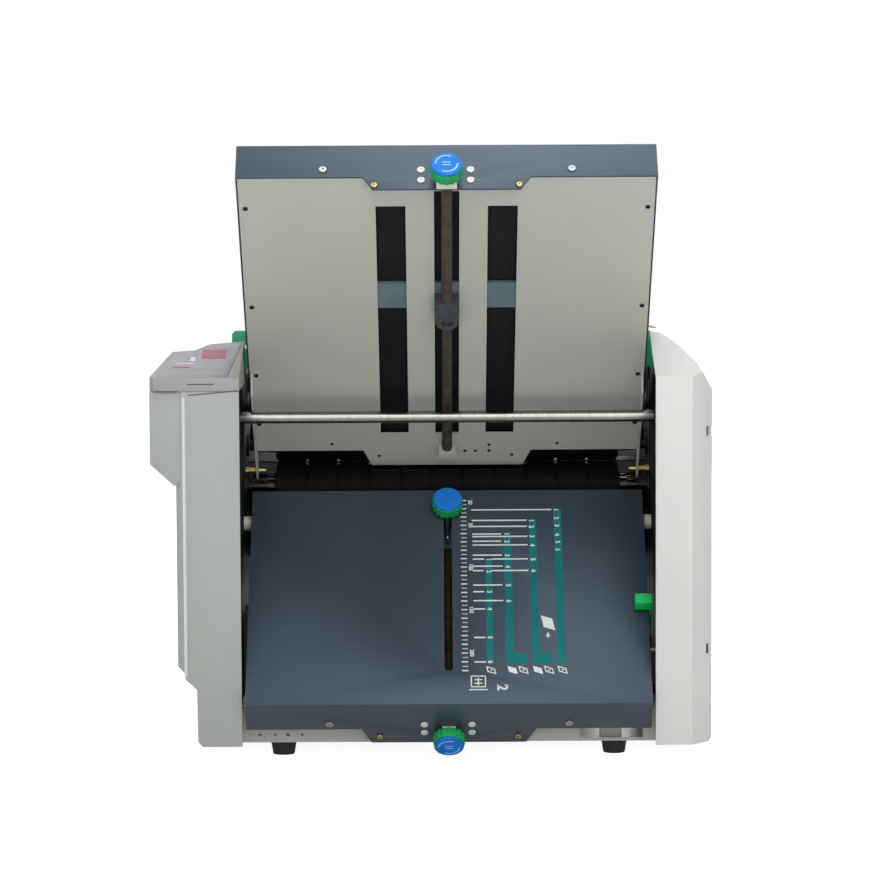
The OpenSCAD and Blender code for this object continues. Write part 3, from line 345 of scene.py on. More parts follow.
# screen-printed inks sit on the paint as thin opaque films
whiteInk = mottled("white screen ink", "#dde1e2", "#e8ecec",
                   rough=(0.45, 0.6), grain=(0.7, 0.01), patch=9, ior=1.5)
paleInk = mottled("pale blue pad print", "#7fc4f2", "#8fcdf5",
                  rough=(0.4, 0.5), grain=(0.7, 0.01), patch=9, ior=1.5)
tealInk = mottled("teal screen ink", "#0a7072", "#0d7a7a",
                  rough=(0.55, 0.66), grain=(0.7, 0.01), patch=25, ior=1.3)
redInk = mottled("red screen ink", "#b03a28", "#bd452f",
                 rough=(0.45, 0.6), grain=(0.7, 0.01), patch=9, ior=1.5)
# back-printed polyester film over the keys
keyFilm = mottled("grey polyester key film", "#97979f", "#9d9da5",
                  rough=(0.36, 0.44), grain=(1.1, 0.012), patch=60, ior=1.5)
redWindow = mottled("smoked red display window", "#9f4e5d", "#a65563",
                    rough=(0.3, 0.4), grain=(1.5, 0.004), patch=10, ior=1.45)


# release lever: green moulded grip over a black steel arm
leverLook = {"gripFrom": 0.345, "gripRough": 0.38, "armRough": 0.55, "ior": 1.53,
             "grip": ("#0a9a57", "#12ad64"), "arm": ("#0d0e0f", "#151718")}


def leverFinish():
    material, tree, shader = newMaterial("green grip on black arm", leverLook["grip"][0],
                                         leverLook["gripRough"], ior=leverLook["ior"])
    place = addNode(tree, "ShaderNodeTexCoord")
    height = addNode(tree, "ShaderNodeVectorMath", {"operation": "DOT_PRODUCT", 1: (0, 0, 1)},
                     i0=place.outputs["Object"])
    above = addNode(tree, "ShaderNodeMath", {"operation": "GREATER_THAN", 1: leverLook["gripFrom"]},
                    i0=height.outputs["Value"]).outputs[0]
    grip, gripTones = tintedNoise(tree, objectPlace(tree), 50, *leverLook["grip"])
    _, armTones = tintedNoise(tree, objectPlace(tree), 40, *leverLook["arm"])
    tree.links.new(blendColors(tree, above, armTones.outputs[0], gripTones.outputs[0]),
                   shader.inputs["Base Color"])
    tree.links.new(spread(tree, above, leverLook["armRough"], leverLook["gripRough"]),
                   shader.inputs["Roughness"])
    bumpFrom(tree, shader, grip.outputs["Fac"], 0.3, 0.02 * mm)
    return material


# stop with its carriage: plated bar above the floor, dark cast carriage below it
stopLook = {"castBelow": 1.7, "barRough": 0.36, "castRough": 0.62,
            "bar": ("#5c7079", "#667a83"), "cast": ("#2c3236", "#3f474c")}


def stopFinish(name, plate):
    material, tree, shader = newMaterial(name, "#62777f", 0.4, ior=1.5)
    place = addNode(tree, "ShaderNodeTexCoord")
    inverse = plate.inverted()
    height = addNode(tree, "ShaderNodeVectorMath", {"operation": "DOT_PRODUCT", 1: tuple(inverse[2][:3])},
                     i0=place.outputs["Object"])
    castTop = stopLook["castBelow"] * mm - inverse[2][3]
    below = addNode(tree, "ShaderNodeMath", {"operation": "LESS_THAN", 1: castTop},
                    i0=height.outputs["Value"]).outputs[0]
    _, barTones = tintedNoise(tree, objectPlace(tree), 40, *stopLook["bar"])
    cast, castTones = tintedNoise(tree, objectPlace(tree), 160, *stopLook["cast"])
    tree.links.new(blendColors(tree, below, barTones.outputs[0], castTones.outputs[0]),
                   shader.inputs["Base Color"])
    tree.links.new(spread(tree, below, stopLook["barRough"], stopLook["castRough"]),
                   shader.inputs["Roughness"])
    bumpFrom(tree, shader, cast.outputs["Fac"], 0.4, 0.05 * mm)
    return material


# vulcanised rubber covering, ground to size, on a steel core; the core's dark tone is painted shade, and the
# rubber's own black is darkened further as painted shade
rollerLook = {"coreRadius": 7.4, "coreRough": 0.26, "rubberRough": 0.72, "ior": 1.2,
              "rubber": ("#050506", "#0a0a0b"), "shadedCore": ("#242322", "#2e2d2b")}
rollerAxes = {"fold_roller_1": (front + 0.2236, 0.271), "fold_roller_2": (front + 0.2236, 0.235),
              "fold_roller_3": (front + 0.1876, 0.235), "fold_roller_4": (front + 0.2236, 0.199),
              "feed_roller": (front + 0.292, 0.2769), "delivery_drive_roller": (front + 0.302, 0.138)}


def rollerFinish(name, centre):
    material, tree, shader = newMaterial(name, "#202224", 0.7, ior=rollerLook["ior"])
    mask = axisMask(tree, centre, rollerLook["coreRadius"] * mm)
    rubber, rubberTones = tintedNoise(tree, objectPlace(tree, (5, 1, 1)), 60, *rollerLook["rubber"])
    # the core's dark tone is painted shade
    _, shadedCoreTones = tintedNoise(tree, objectPlace(tree, (6, 1, 1)), 50, *rollerLook["shadedCore"])
    tree.links.new(blendColors(tree, mask, shadedCoreTones.outputs[0], rubberTones.outputs[0]),
                   shader.inputs["Base Color"])
    tree.links.new(spread(tree, mask, rollerLook["coreRough"], rollerLook["rubberRough"]),
                   shader.inputs["Roughness"])
    tree.links.new(spread(tree, mask, 1.0, 0.0), shader.inputs["Metallic"])
    bumpFrom(tree, shader, rubber.outputs["Fac"], 0.35, 0.04 * mm)
    return material


leverGreen = leverFinish()
slotFinish = {"beige_sheet": beigePaint, "beige_plate": beigePaint, "slate_paint": slatePaint,
              "black_steel": blackPaintAndShade, "motor_steel": motorPaint, "pale_abs": paleAbs, "grey_film": keyFilm,
              "red_window": redWindow, "green_plastic": greenAbs, "black_plastic": blackNylon,
              "white_nylon": whiteNylon, "black_rubber": footRubber, "belt_rubber": beltRubber,
              "roller_rubber": beltRubber, "bright_steel": groundSteel, "stop_grey": platedSteel,
              "brass": turnedBrass, "bronze": sinterBronze}
slotOf = {entry["node"]: entry["material_slot"] for entry in frame["record"]["subparts"]}
for nodeName, cadNode in cadNodes.items():
    if nodeName in rollerAxes:
        dress(cadNode, rollerFinish("rubber covering on " + nodeName, rollerAxes[nodeName]))
    else:
        dress(cadNode, slotFinish[slotOf[nodeName]])
dress(cadNodes["plate_1_stop"], stopFinish("plated stop and casting, upper", upperPlate))
dress(cadNodes["plate_2_stop"], stopFinish("plated stop and casting, lower", lowerPlate))
# nodes whose look is not that of their slot: the guides, lift plate and tie bars inside take the black as
# painted shade, the adjusting rods the dark thread finish
shadeAndThreadFinish = {"paper_guides": blackPaintAndShade, "plate_1_guide": blackPaintAndShade, "plate_2_guide": blackPaintAndShade,
             "lift_plate": blackPaintAndShade, "tie_bars": blackPaintAndShade,
             "plate_1_adjust_rod": threadSteel, "plate_2_adjust_rod": threadSteel}
for nodeName, material in shadeAndThreadFinish.items():
    dress(cadNodes[nodeName], material)
print("materials ready")


# covers and console: the solids with their edges rounded as moulded

def roundedCopy(nodeName, pieceName, width):
    source = cadNodes[nodeName]
    piece = bpy.data.objects.new(pieceName, source.data.copy())
    bpy.context.collection.objects.link(piece)
    pick(piece)
    bpy.ops.object.mode_set(mode="EDIT")
    bpy.ops.mesh.select_all(action="SELECT")
    bpy.ops.mesh.remove_doubles(threshold=weld)
    bpy.ops.mesh.dissolve_limited(angle_limit=math.radians(0.6))
    bpy.ops.object.mode_set(mode="OBJECT")
    for node, wanted, move in reshapes:
        if node == nodeName:
            selectVerts(piece, wanted)
            bpy.ops.transform.translate(value=[v * mm for v in move])
            bpy.ops.object.mode_set(mode="OBJECT")
    roundEdges(piece, width, 3, 20)
    return piece


# node: (piece, body, slot, material, edge radius in mm)
covers = {"right_cover": ("sideCoverRight", "chassis", "pale_abs", paleAbs, 1.4),
          "left_cover": ("sideCoverLeft", "chassis", "pale_abs", leftCoverAbs, 1.4),
          "control_console": ("consoleLid", "chassis", "pale_abs", lidAbs, 0.9),
          "panel_membrane": ("panelFilm", "chassis", "grey_film", keyFilm, 0.12),
          "infeed_hood": ("feedHood", "hood", "black_plastic", blackNylon, 0.5),
          "plate_2_latch": ("latchHandle", "latch", "green_plastic", latchGreenPaintedLight, 0.7),
          "release_lever_left": ("releaseLeverLeft", "release_left", "green_plastic", leverGreen, 0.8),
          "release_lever_right": ("releaseLeverRight", "release_right", "green_plastic", leverGreen, 0.8),
          "plate_1_cover": ("upperPlateCover", "fold_plate_1", "slate_paint", slatePaint, 0.5),
          "plate_2_cover": ("lowerPlateCover", "fold_plate_2", "slate_paint", slatePaint, 0.5)}
# corners of the copies that the photograph shows further in or lower: (node, test, move in mm)
lidSide, filmSide, consoleBack, coverBack, crownFrom = -0.2522, -0.24, front + 0.05, front + 0.25, 0.36
reshapes = [("control_console", lambda co: co.x < lidSide and co.y > consoleBack, (16, 0, 0)),
            ("control_console", lambda co: lidSide < co.x < filmSide and co.y > consoleBack, (5.3, 0, 0)),
            ("panel_membrane", lambda co: co.x < filmSide and co.y > consoleBack, (5.3, 0, 0)),
            ("left_cover", lambda co: co.z > crownFrom and co.y > coverBack, (0, 0, -8))]
for nodeName, (pieceName, body, slotName, material, width) in covers.items():
    finishPiece(roundedCopy(nodeName, pieceName, width), body, slotName, material, nodeName)

# a moulded rib down the left cover's front, dressed in the paler ABS as a painted highlight along its edge, and
# the lid's parting lines as dark strips of painted shade
coverTrim = {"ribX": (-226.2, -223.4), "ribZ": (80, 335), "ribRise": 0.7, "seamRise": 0.25, "seamTall": 1.1,
             "seams": [(-250.5, 340.4, -229.6, 340.4), (-220.5, 337.0, -175.2, 340.9),
                       (-221.0, 346.9, -196.5, 346.9)]}
(x0, x1), (z0, z1) = coverTrim["ribX"], coverTrim["ribZ"]
rib = addBlock((x1 - x0, coverTrim["ribRise"] * 2, z1 - z0),
               ((x0 + x1) / 2, front / mm, (z0 + z1) / 2), "coverRib")
roundEdges(rib, 0.65, 4, 30)
# the paler ABS on the rib is a painted highlight
finishPiece(rib, "chassis", "pale_abs", paleAbs)
seams = []
for x0, z0, x1, z1 in coverTrim["seams"]:
    size = (math.hypot(x1 - x0, z1 - z0), coverTrim["seamRise"] * 2, coverTrim["seamTall"])
    strip = addBlock(size, (0, 0, 0), "seam")
    strip.matrix_world = (Matrix.Translation(((x0 + x1) / 2 * mm, front, (z0 + z1) / 2 * mm))
                          @ Matrix.Rotation(-math.atan2(z1 - z0, x1 - x0), 4, "Y"))
    seams.append(settle(strip))
finishPiece(joinAs(seams, "lidPartingLines"), "chassis", "pale_abs", seamShade)
print("covers rounded")

# knobs: fluted green body, blue cap with pale turning marks; in mm, shares and degrees
knob = {"radius": 14.5, "height": 10, "flutes": 16, "perFlute": 6, "flutePull": 0.95, "groovePull": 0.985,
        "bodyEdge": 0.7, "capRadius": 13.7, "capHeight": 2.6, "capSteps": ((1.2, 0.25), (3.0, 0.15)),
        "capEdge": 0.9, "markRadius": 9.6, "markWidth": 1.3, "markTall": 0.12, "markLift": 0.38,
        "arcTurn": 115, "headRadius": 1.7, "barLong": 7, "barShift": 1.6}


def makeKnobBody(name):
    sides = knob["flutes"] * knob["perFlute"]
    body = addDisc(knob["radius"], knob["height"], sides, name)
    step = 2 * math.pi / sides
    for sunk, pull in (((2, 3, 4), knob["flutePull"]), ((3,), knob["groovePull"])):
        selectVerts(body, lambda co: round(math.atan2(co.y, co.x) / step) % knob["perFlute"] in sunk)
        bpy.ops.transform.resize(value=(pull, pull, 1), center_override=(0, 0, 0))
    bpy.ops.object.mode_set(mode="OBJECT")
    roundEdges(body, knob["bodyEdge"], 3, 50)
    return body


def makeKnobCap(name):
    cap = addDisc(knob["capRadius"], knob["capHeight"], 72, name)
    selectFaces(cap, lambda co, normal: normal.z > 0.9)
    for inset, rise in knob["capSteps"]:
        bpy.ops.mesh.inset(thickness=inset * mm)
        bpy.ops.transform.translate(value=(0, 0, rise * mm))
    bpy.ops.object.mode_set(mode="OBJECT")
    roundEdges(cap, knob["capEdge"], 3, 40)
    return cap


def makeKnobMarks(name):
    # two arcs with arrow heads and two short bars, raised a hair above the cap
    parts = []
    tall = knob["markTall"]
    for turn in (0, math.pi):
        strip = addBlock((knob["markWidth"], 0.3, tall), (knob["markRadius"], 0, tall / 2), "arc")
        selectFaces(strip, lambda co, normal: normal.y > 0.9)
        bpy.ops.mesh.spin(steps=14, angle=math.radians(knob["arcTurn"]), center=(0, 0, 0), axis=(0, 0, 1))
        bpy.ops.object.mode_set(mode="OBJECT")
        strip.matrix_world = Matrix.Rotation(turn, 4, "Z")
        parts.append(settle(strip))
        head = addDisc(knob["headRadius"], tall, 3, "head")
        head.matrix_world = (Matrix.Rotation(turn - math.radians(5), 4, "Z")
                             @ Matrix.Translation((knob["markRadius"] * mm, 0, 0))
                             @ Matrix.Rotation(math.radians(-180), 4, "Z"))
        parts.append(settle(head))
    for shift in (-knob["barShift"], knob["barShift"]):
        parts.append(addBlock((knob["barLong"], 1.0, tall), (0, shift, tall / 2), "bar"))
    marks = joinAs(parts, name)
    addModifier(marks, "BEVEL", width=0.03 * mm, segments=1)
    return marks


def placeKnob(prefix, place, body, hidden, marked):
    knobBody = makeKnobBody(prefix + "KnobBody")
    finishPiece(settle(knobBody, place), body, "green_plastic", greenAbs, hidden)
    cap = makeKnobCap(prefix + "KnobCap")
    capPlace = place @ Matrix.Translation((0, 0, knob["height"] * mm))
    finishPiece(settle(cap, capPlace), body, "green_plastic", blueCap)
    if marked:
        marks = makeKnobMarks(prefix + "KnobMarks")
        top = knob["height"] + knob["capHeight"] + knob["markLift"]
        finishPiece(settle(marks, place @ Matrix.Translation((0, 0, top * mm))), body, "green_plastic", paleInk)


# name, plate, mm from the mouth, body, node that it stands for
endKnobs = [("upperEnd", upperPlate, upperLength + 9, "adjuster_1", "plate_1_end_knob"),
            ("lowerEnd", lowerPlate, lowerLength + 4, "adjuster_2", "plate_2_end_knob")]
lockKnobs = [("upperLock", upperPlate, 213, "lock_1", "plate_1_lock_knob"),
             ("lowerLock", lowerPlate, 22, "lock_2", "plate_2_lock_knob")]
spindle = {"radius": 8, "height": 2, "lift": 0.3, "inset": 4.9, "reach": 3.9, "knobLift": 2.3}
for prefix, plate, at, body, nodeName in endKnobs:
    placeKnob(prefix, rodPoint(plate, at), body, nodeName, True)
for prefix, plate, at, body, nodeName in lockKnobs:
    placeKnob(prefix, coverPoint(plate, at, spindle["knobLift"]), body, nodeName, False)
for prefix, plate, at, body, _ in lockKnobs:
    # the washer under a lock knob, with the spindle that goes down through the cover's slot
    washer = addDisc(spindle["radius"], spindle["height"], 48, prefix + "Spindle")
    selectFaces(washer, lambda co, normal: normal.z < -0.9)
    bpy.ops.mesh.inset(thickness=spindle["inset"] * mm)
    bpy.ops.mesh.extrude_region_move(TRANSFORM_OT_translate={"value": (0, 0, -spindle["reach"] * mm)})
    bpy.ops.object.mode_set(mode="OBJECT")
    roundEdges(washer, 0.3, 2)
    finishPiece(settle(washer, coverPoint(plate, at, spindle["lift"])), body, "green_plastic", blackNylon)
print("knobs made")

# adjusting rods: a trapezoid thread drawn as rings; radii, pitch and where it runs from the mouth, in mm
rodThread = {"root": 4.66, "crest": 4.9, "pitch": 2.0, "upper": (194, 370), "lower": (60, 232)}


def makeThread(name, span):
    deselectAll()
    bpy.ops.mesh.primitive_circle_add(vertices=32, radius=rodThread["root"] * mm, fill_type="NOTHING")
    thread = bpy.context.object
    thread.name = name
    bpy.ops.object.mode_set(mode="EDIT")
    bpy.ops.mesh.select_mode(type="VERT")
    bpy.ops.mesh.select_all(action="SELECT")
    grow = rodThread["crest"] / rodThread["root"]
    for factor in (grow, 1, 1 / grow, 1):   # up the flank, crest, down the flank, root
        bpy.ops.mesh.extrude_region_move(TRANSFORM_OT_translate={"value": (0, 0, rodThread["pitch"] / 4 * mm)})
        bpy.ops.transform.resize(value=(factor, factor, 1), center_override=(0, 0, 0))
    bpy.ops.mesh.select_all(action="SELECT")
    bpy.ops.mesh.normals_make_consistent(inside=False)
    bpy.ops.object.mode_set(mode="OBJECT")
    turns = int((span[1] - span[0]) / rodThread["pitch"])
    addModifier(thread, "ARRAY", count=turns, use_relative_offset=False, use_constant_offset=True,
                constant_offset_displace=(0, 0, rodThread["pitch"] * mm), use_merge_vertices=True,
                merge_threshold=weld)
    pick(thread)
    bpy.ops.object.shade_smooth_by_angle(angle=math.radians(40))
    return thread


for prefix, plate, body in (("upper", upperPlate, "adjuster_1"), ("lower", lowerPlate, "adjuster_2")):
    thread = makeThread(prefix + "RodThread", rodThread[prefix])
    finishPiece(settle(thread, rodPoint(plate, rodThread[prefix][0])), body, "bright_steel", threadSteel)
print("threads cut")

# screws: radius and height of each head in mm, and the shares of them that the socket takes
screwHeads = {"floor": (2.2, 0.9), "rivet": (1.5, 0.6), "block": (3.4, 1.3), "clip": (3.8, 1.2),
              "lug": (3.0, 1.6), "slot": (2.4, 1.4)}
socket = {"rim": 0.35, "dome": 0.25, "inset": 0.28, "depth": 0.7}
faceDown = Matrix.Rotation(math.pi, 4, "X")
faceEnd = Matrix.Rotation(math.pi / 2, 4, "X")
faceUp = Matrix.Identity(4)


def makeScrew(radius, height):
    screw = addDisc(radius, height, 24, "screw")
    selectFaces(screw, lambda co, normal: normal.z > 0.9)
    bpy.ops.mesh.inset(thickness=radius * socket["rim"] * mm)
    bpy.ops.transform.translate(value=(0, 0, height * socket["dome"] * mm))
    bpy.ops.mesh.inset(thickness=radius * socket["inset"] * mm)
    bpy.ops.mesh.extrude_region_move(TRANSFORM_OT_translate={"value": (0, 0, -height * socket["depth"] * mm)})
    bpy.ops.object.mode_set(mode="OBJECT")
    roundEdges(screw, 0.2 * radius / 3, 2, 30)
    return screw


def screwRow(name, head, places, facing, plate, body, slotName, material):
    # places are (x, y, z) in the plate's own millimetres, facing turns the screw's head outwards
    parts = []
    for place in places:
        screw = makeScrew(*screwHeads[head])
        screw.matrix_world = plate @ Matrix.Translation([v * mm for v in place]) @ facing
        parts.append(settle(screw))
    finishPiece(joinAs(parts, name), body, slotName, material)


screwPlaces = {
    "edge": 178, "upper": (40, 110, 205, 335), "lower": (40, 110, 205),
    "tongue": [(-65, 8, 0), (17, 1, 0), (27, 1, 0), (40, -8, 0), (40, 1, 0), (62, 7, 0),
               (-110, -10, 0), (105, -10, 0)],
    "blockX": (-22.5, 21), "blockZ": (8, -4.5), "clipX": (-109, 110), "clipZ": 9,
    "lugX": (-63.5, 63.5), "lugZ": -10.5, "slot": (0, -39.6, plateDepth - 22)}


def floorRows(along):
    return [(side * screwPlaces["edge"], -t, 0) for side in (-1, 1) for t in along]


def flangeFittings(prefix, plate, length, body):
    # white block screws, bright slotted clips and brass screws on the end flange
    blocks = [(x, -length, z) for x in screwPlaces["blockX"] for z in screwPlaces["blockZ"]]
    screwRow(prefix + "BlockScrews", "block", blocks, faceEnd, plate, body, "white_nylon", whiteNylon)
    clips = [(x, -length, screwPlaces["clipZ"]) for x in screwPlaces["clipX"]]
    screwRow(prefix + "FlangeScrews", "clip", clips, faceEnd, plate, body, "bright_steel", platedSteel)
    lugs = [(x, -length, screwPlaces["lugZ"]) for x in screwPlaces["lugX"]]
    screwRow(prefix + "LugScrews", "lug", lugs, faceEnd, plate, body, "brass", turnedBrass)


screwRow("upperFloorScrews", "floor", floorRows(screwPlaces["upper"]), faceDown, upperPlate,
         "fold_plate_1", "beige_plate", screwBlack)
screwRow("tongueRivets", "rivet", screwPlaces["tongue"], faceDown, upperPlate,
         "fold_plate_1", "beige_plate", screwBlack)
screwRow("lowerFloorScrews", "floor", floorRows(screwPlaces["lower"]), faceDown, lowerPlate,
         "fold_plate_2", "beige_plate", screwBlack)
flangeFittings("upper", upperPlate, upperLength, "fold_plate_1")
flangeFittings("lower", lowerPlate, lowerLength, "fold_plate_2")
screwRow("slotStopScrew", "slot", [screwPlaces["slot"]], faceUp, lowerPlate,
         "fold_plate_2", "bright_steel", platedSteel)
print("screws set")

# print on the lower plate, in mm: across from the plate's middle, and down from its mouth
scalePrint = {
    "shift": 2.3, "inkTall": 0.06, "whiteLift": 0.05, "tealLift": 0.02, "boldness": 0.035,
    "firstMark": 20, "lastMark": 220, "markStep": 5, "zeroAt": -9.66, "tickFrom": 12.8, "tickTo": 17.9,
    "tickHalf": 0.38, "tenLonger": 0.7, "tenThicker": 0.3, "lineWidth": 1.5,
    "numbers": {20: "20", 50: "50", 100: "100", 150: "150", 200: "200"}, "numberX": 21.4, "numberSize": 5.4,
    "foldLines": [(22.4, 98.6, 21.8), (22.8, 74.7, 34.6), (22.8, 74.9, 41.9), (23.2, 50.4, 51.0),
                  (23.2, 75.0, 54.0), (23.3, 50.4, 59.7), (23.3, 75.1, 64.2), (23.4, 50.7, 76.3),
                  (23.4, 33.9, 81.0), (41.0, 75.1, 81.0), (23.4, 51.3, 89.4), (23.4, 33.3, 94.7),
                  (41.0, 75.3, 94.7), (23.4, 50.8, 111.7), (23.4, 33.7, 119.5), (23.5, 51.3, 130.0),
                  (23.6, 34.2, 139.6), (23.6, 34.4, 172.6), (23.7, 34.4, 200.5)],
    "tealBars": [(35.3, 41.0, 80.5, 203), (52.8, 60.2, 49.3, 203), (77.0, 83.6, 33.6, 203),
                 (100.3, 107.4, 21.4, 203), (60.2, 72.3, 191, 203), (83.6, 95.0, 191, 203)],
    "labels": [(38.3, 81.5, "1"), (38.3, 95.5, "2"), (38.3, 119.5, "3"), (38.3, 139.6, "4"), (38.3, 172.6, "5"),
               (38.3, 200.5, "6"),
               (55.6, 51, "1"), (55.6, 60, "2"), (55.6, 76.5, "3"), (55.8, 90, "4"), (56, 112, "5"),
               (56.2, 130.5, "6"),
               (79, 35, "1"), (79, 42.5, "2"), (79.2, 54, "3"), (79.4, 64.5, "4"), (79.8, 81.5, "5"),
               (80, 95.2, "6"),
               (102.6, 21.8, "1"), (102.9, 32, "2"), (103, 41, "3"), (103, 52, "4"), (103.2, 61, "5"),
               (103.2, 70, "6")],
    "labelSize": 6.4,
    # small sheets under the bars: where each stands across the plate and whether it is solid
    "icons": [(39.1, False), (58.6, True), (68.6, False), (81.8, True), (92.0, False), (104.3, False)],
    "iconAt": 205.2, "iconSize": (8.0, 6.6),
    "sheet": (85.5, 147.5, 10.5, 13.5), "sheetArrow": [(90.8, 92.8, 167.5, 173), (89.6, 94.0, 170.2, 171.6)],
    "plateFigure": ("2", 48.5, 229.5, 13.5),
    "frame": [(20, 34, 216, 217.1), (20, 34, 228, 229.1), (20, 21.1, 216, 229), (32.9, 34, 216, 229),
              (23.5, 30.5, 220, 221.2), (23.5, 30.5, 224, 225.2), (26.4, 27.6, 218.5, 226.5),
              (18.5, 35.5, 231.2, 232.4)]}


def inkBox(x0, x1, t0, t1):
    deselectAll()
    bpy.ops.mesh.primitive_plane_add(size=1, location=((x0 + x1) / 2 * mm, -(t0 + t1) / 2 * mm, 0))
    patch = bpy.context.object
    patch.scale = (abs(x1 - x0) * mm, abs(t1 - t0) * mm, 1)
    return settle(patch)


def inkNumber(text, x, t, size):
    # reads from the side, as the photograph shows
    deselectAll()
    bpy.ops.object.text_add(location=(x * mm, -t * mm, 0), rotation=(0, 0, math.radians(-90)))
    words = bpy.context.object
    words.data.body = text
    words.data.size = size * mm
    words.data.offset = size * scalePrint["boldness"] * mm
    words.data.align_x = "CENTER"
    words.data.align_y = "CENTER"
    words.data.resolution_u = 3
    pick(words)
    bpy.ops.object.convert(target="MESH")
    return settle(bpy.context.object)


def sheetIcon(x, t, wide, tall, filled):
    # a slanted sheet seen from above: solid, or an outline with a fold line
    sheet = inkBox(x, x + wide, t, t + tall)
    selectVerts(sheet, lambda co: co.x > (x + wide / 2) * mm)
    bpy.ops.transform.translate(value=(0, -wide * 0.36 * mm, 0))
    selectVerts(sheet, lambda co: co.y < -(t + tall * 0.7) * mm)
    bpy.ops.transform.translate(value=(tall * 0.2 * mm, 0, 0))
    if not filled:
        selectFaces(sheet, lambda co, normal: True)
        bpy.ops.mesh.inset(thickness=1.0 * mm)
        bpy.ops.mesh.delete(type="FACE")
    bpy.ops.object.mode_set(mode="OBJECT")
    if filled:
        return sheet
    fold = inkBox(x + wide * 0.45, x + wide * 0.75, t + tall * 0.62, t + tall * 0.8)
    return joinAs([sheet, fold], "icon")


def layInk(parts, name, lift, material):
    film = joinAs(parts, name)
    addModifier(film, "SOLIDIFY", thickness=scalePrint["inkTall"] * mm, offset=1.0)
    place = coverPoint(lowerPlate, scalePrint["shift"], lift)
    finishPiece(settle(film, place), "fold_plate_2", "slate_paint", material)


white = []
for mark in range(scalePrint["firstMark"], scalePrint["lastMark"] + 1, scalePrint["markStep"]):
    t = mark + scalePrint["zeroAt"]
    grow = 1.0 if mark % 10 == 0 else 0.0   # the marks at whole tens are longer and thicker
    white.append(inkBox(scalePrint["tickFrom"] - grow * scalePrint["tenLonger"], scalePrint["tickTo"],
                        t - scalePrint["tickHalf"] - scalePrint["tenThicker"] * grow,
                        t + scalePrint["tickHalf"] + scalePrint["tenThicker"] * grow))
for mark, text in scalePrint["numbers"].items():
    nudge = 2 if mark == scalePrint["firstMark"] else 0   # the first number stands clear of the plate's mouth
    t = mark + scalePrint["zeroAt"] + nudge
    white.append(inkNumber(text, scalePrint["numberX"], t, scalePrint["numberSize"]))
for x0, x1, t in scalePrint["foldLines"]:
    white.append(inkBox(x0, x1, t - scalePrint["lineWidth"] / 2, t + scalePrint["lineWidth"] / 2))
for x, t, text in scalePrint["labels"]:
    white.append(inkNumber(text, x, t, scalePrint["labelSize"]))
wide, tall = scalePrint["iconSize"]
for x, filled in scalePrint["icons"]:
    white.append(sheetIcon(x - wide * 0.6, scalePrint["iconAt"], wide, tall, filled))
white.append(sheetIcon(*scalePrint["sheet"], True))
white.extend([inkBox(*box) for box in scalePrint["sheetArrow"]])
white.append(inkNumber(*scalePrint["plateFigure"]))
white.extend([inkBox(*box) for box in scalePrint["frame"]])
layInk(white, "whitePrint", scalePrint["whiteLift"], whiteInk)
layInk([inkBox(*bar) for bar in scalePrint["tealBars"]], "tealPrint", scalePrint["tealLift"], tealInk)
print("print laid")

# control panel: keys and printed marks on the film; places are (x, y), marks (x, y, width, height), in mm
panel = {"tilt": 14.676, "front": (0.0, front, 0.352), "filmTop": 0.2,
         "keySize": (11, 8.8), "keyRise": 0.22, "domeInset": 1.6, "domeRise": 0.08, "keyEdge": 0.12,
         "keys": [(-194.5, 14), (-212.5, 14), (-230.5, 14), (-194.5, 31), (-212.5, 31)],
         "markTall": 0.08, "markAt": 0.26, "markEdge": 0.02,
         "white": [(-219.0, 56, 4, 11), (-225.5, 43, 15, 1.6)], "red": [(-228, 32, 16, 2.8)]}
panelPlace = Matrix.Translation(panel["front"]) @ Matrix.Rotation(math.radians(panel["tilt"]), 4, "X")


def makeKey(x, y):
    middle = panel["filmTop"] + panel["keyRise"] / 2
    key = addBlock((*panel["keySize"], panel["keyRise"]), (x, y, middle), "key")
    selectFaces(key, lambda co, normal: normal.z > 0.9)
    bpy.ops.mesh.inset(thickness=panel["domeInset"] * mm)
    bpy.ops.transform.translate(value=(0, 0, panel["domeRise"] * mm))
    bpy.ops.object.mode_set(mode="OBJECT")
    roundEdges(key, panel["keyEdge"], 2, 30)
    return key


def layMarks(name, marks, material):
    parts = []
    for x, y, wide, tall in marks:
        parts.append(addBlock((wide, tall, panel["markTall"]), (x, y, panel["markAt"]), "mark"))
    film = joinAs(parts, name)
    addModifier(film, "BEVEL", width=panel["markEdge"] * mm, segments=1)
    finishPiece(settle(film, panelPlace), "chassis", "grey_film", material)


keys = joinAs([makeKey(x, y) for x, y in panel["keys"]], "panelKeys")
finishPiece(settle(keys, panelPlace), "chassis", "grey_film", keyFilm)
layMarks("panelMarks", panel["white"], whiteInk)
layMarks("panelRedLine", panel["red"], redInk)
print("panel dressed")

# floor, lights and camera; the glow keeps the paper white to the camera and dimmer in reflections
studio = {"paperGlow": 0.9, "paperGlossGlow": 0.3, "skyLight": 0.12, "skySeen": 1.0}
floorLook, floorTree, floorShader = newMaterial("white seamless paper", "#e9e9e8", 0.9)
path = addNode(floorTree, "ShaderNodeLightPath")
glossGlow = addNode(floorTree, "ShaderNodeMath", {"operation": "MULTIPLY", 1: studio["paperGlossGlow"]},
                    i0=path.outputs["Is Glossy Ray"])
seen = addNode(floorTree, "ShaderNodeMath", {"operation": "MULTIPLY_ADD", 1: studio["paperGlow"]},
               i0=path.outputs["Is Camera Ray"], i2=glossGlow.outputs[0])
glow = addNode(floorTree, "ShaderNodeEmission", {"Color": (1, 1, 1, 1)}, Strength=seen.outputs[0])
both = addNode(floorTree, "ShaderNodeAddShader", i0=floorShader.outputs[0], i1=glow.outputs[0])
floorTree.links.new(both.outputs[0], floorTree.nodes["Material Output"].inputs["Surface"])
deselectAll()
bpy.ops.mesh.primitive_plane_add(size=60, location=(0, 0, -0.0003))
floorSheet = bpy.context.object
floorSheet.name = "floorSheet"
dress(floorSheet, floorLook)

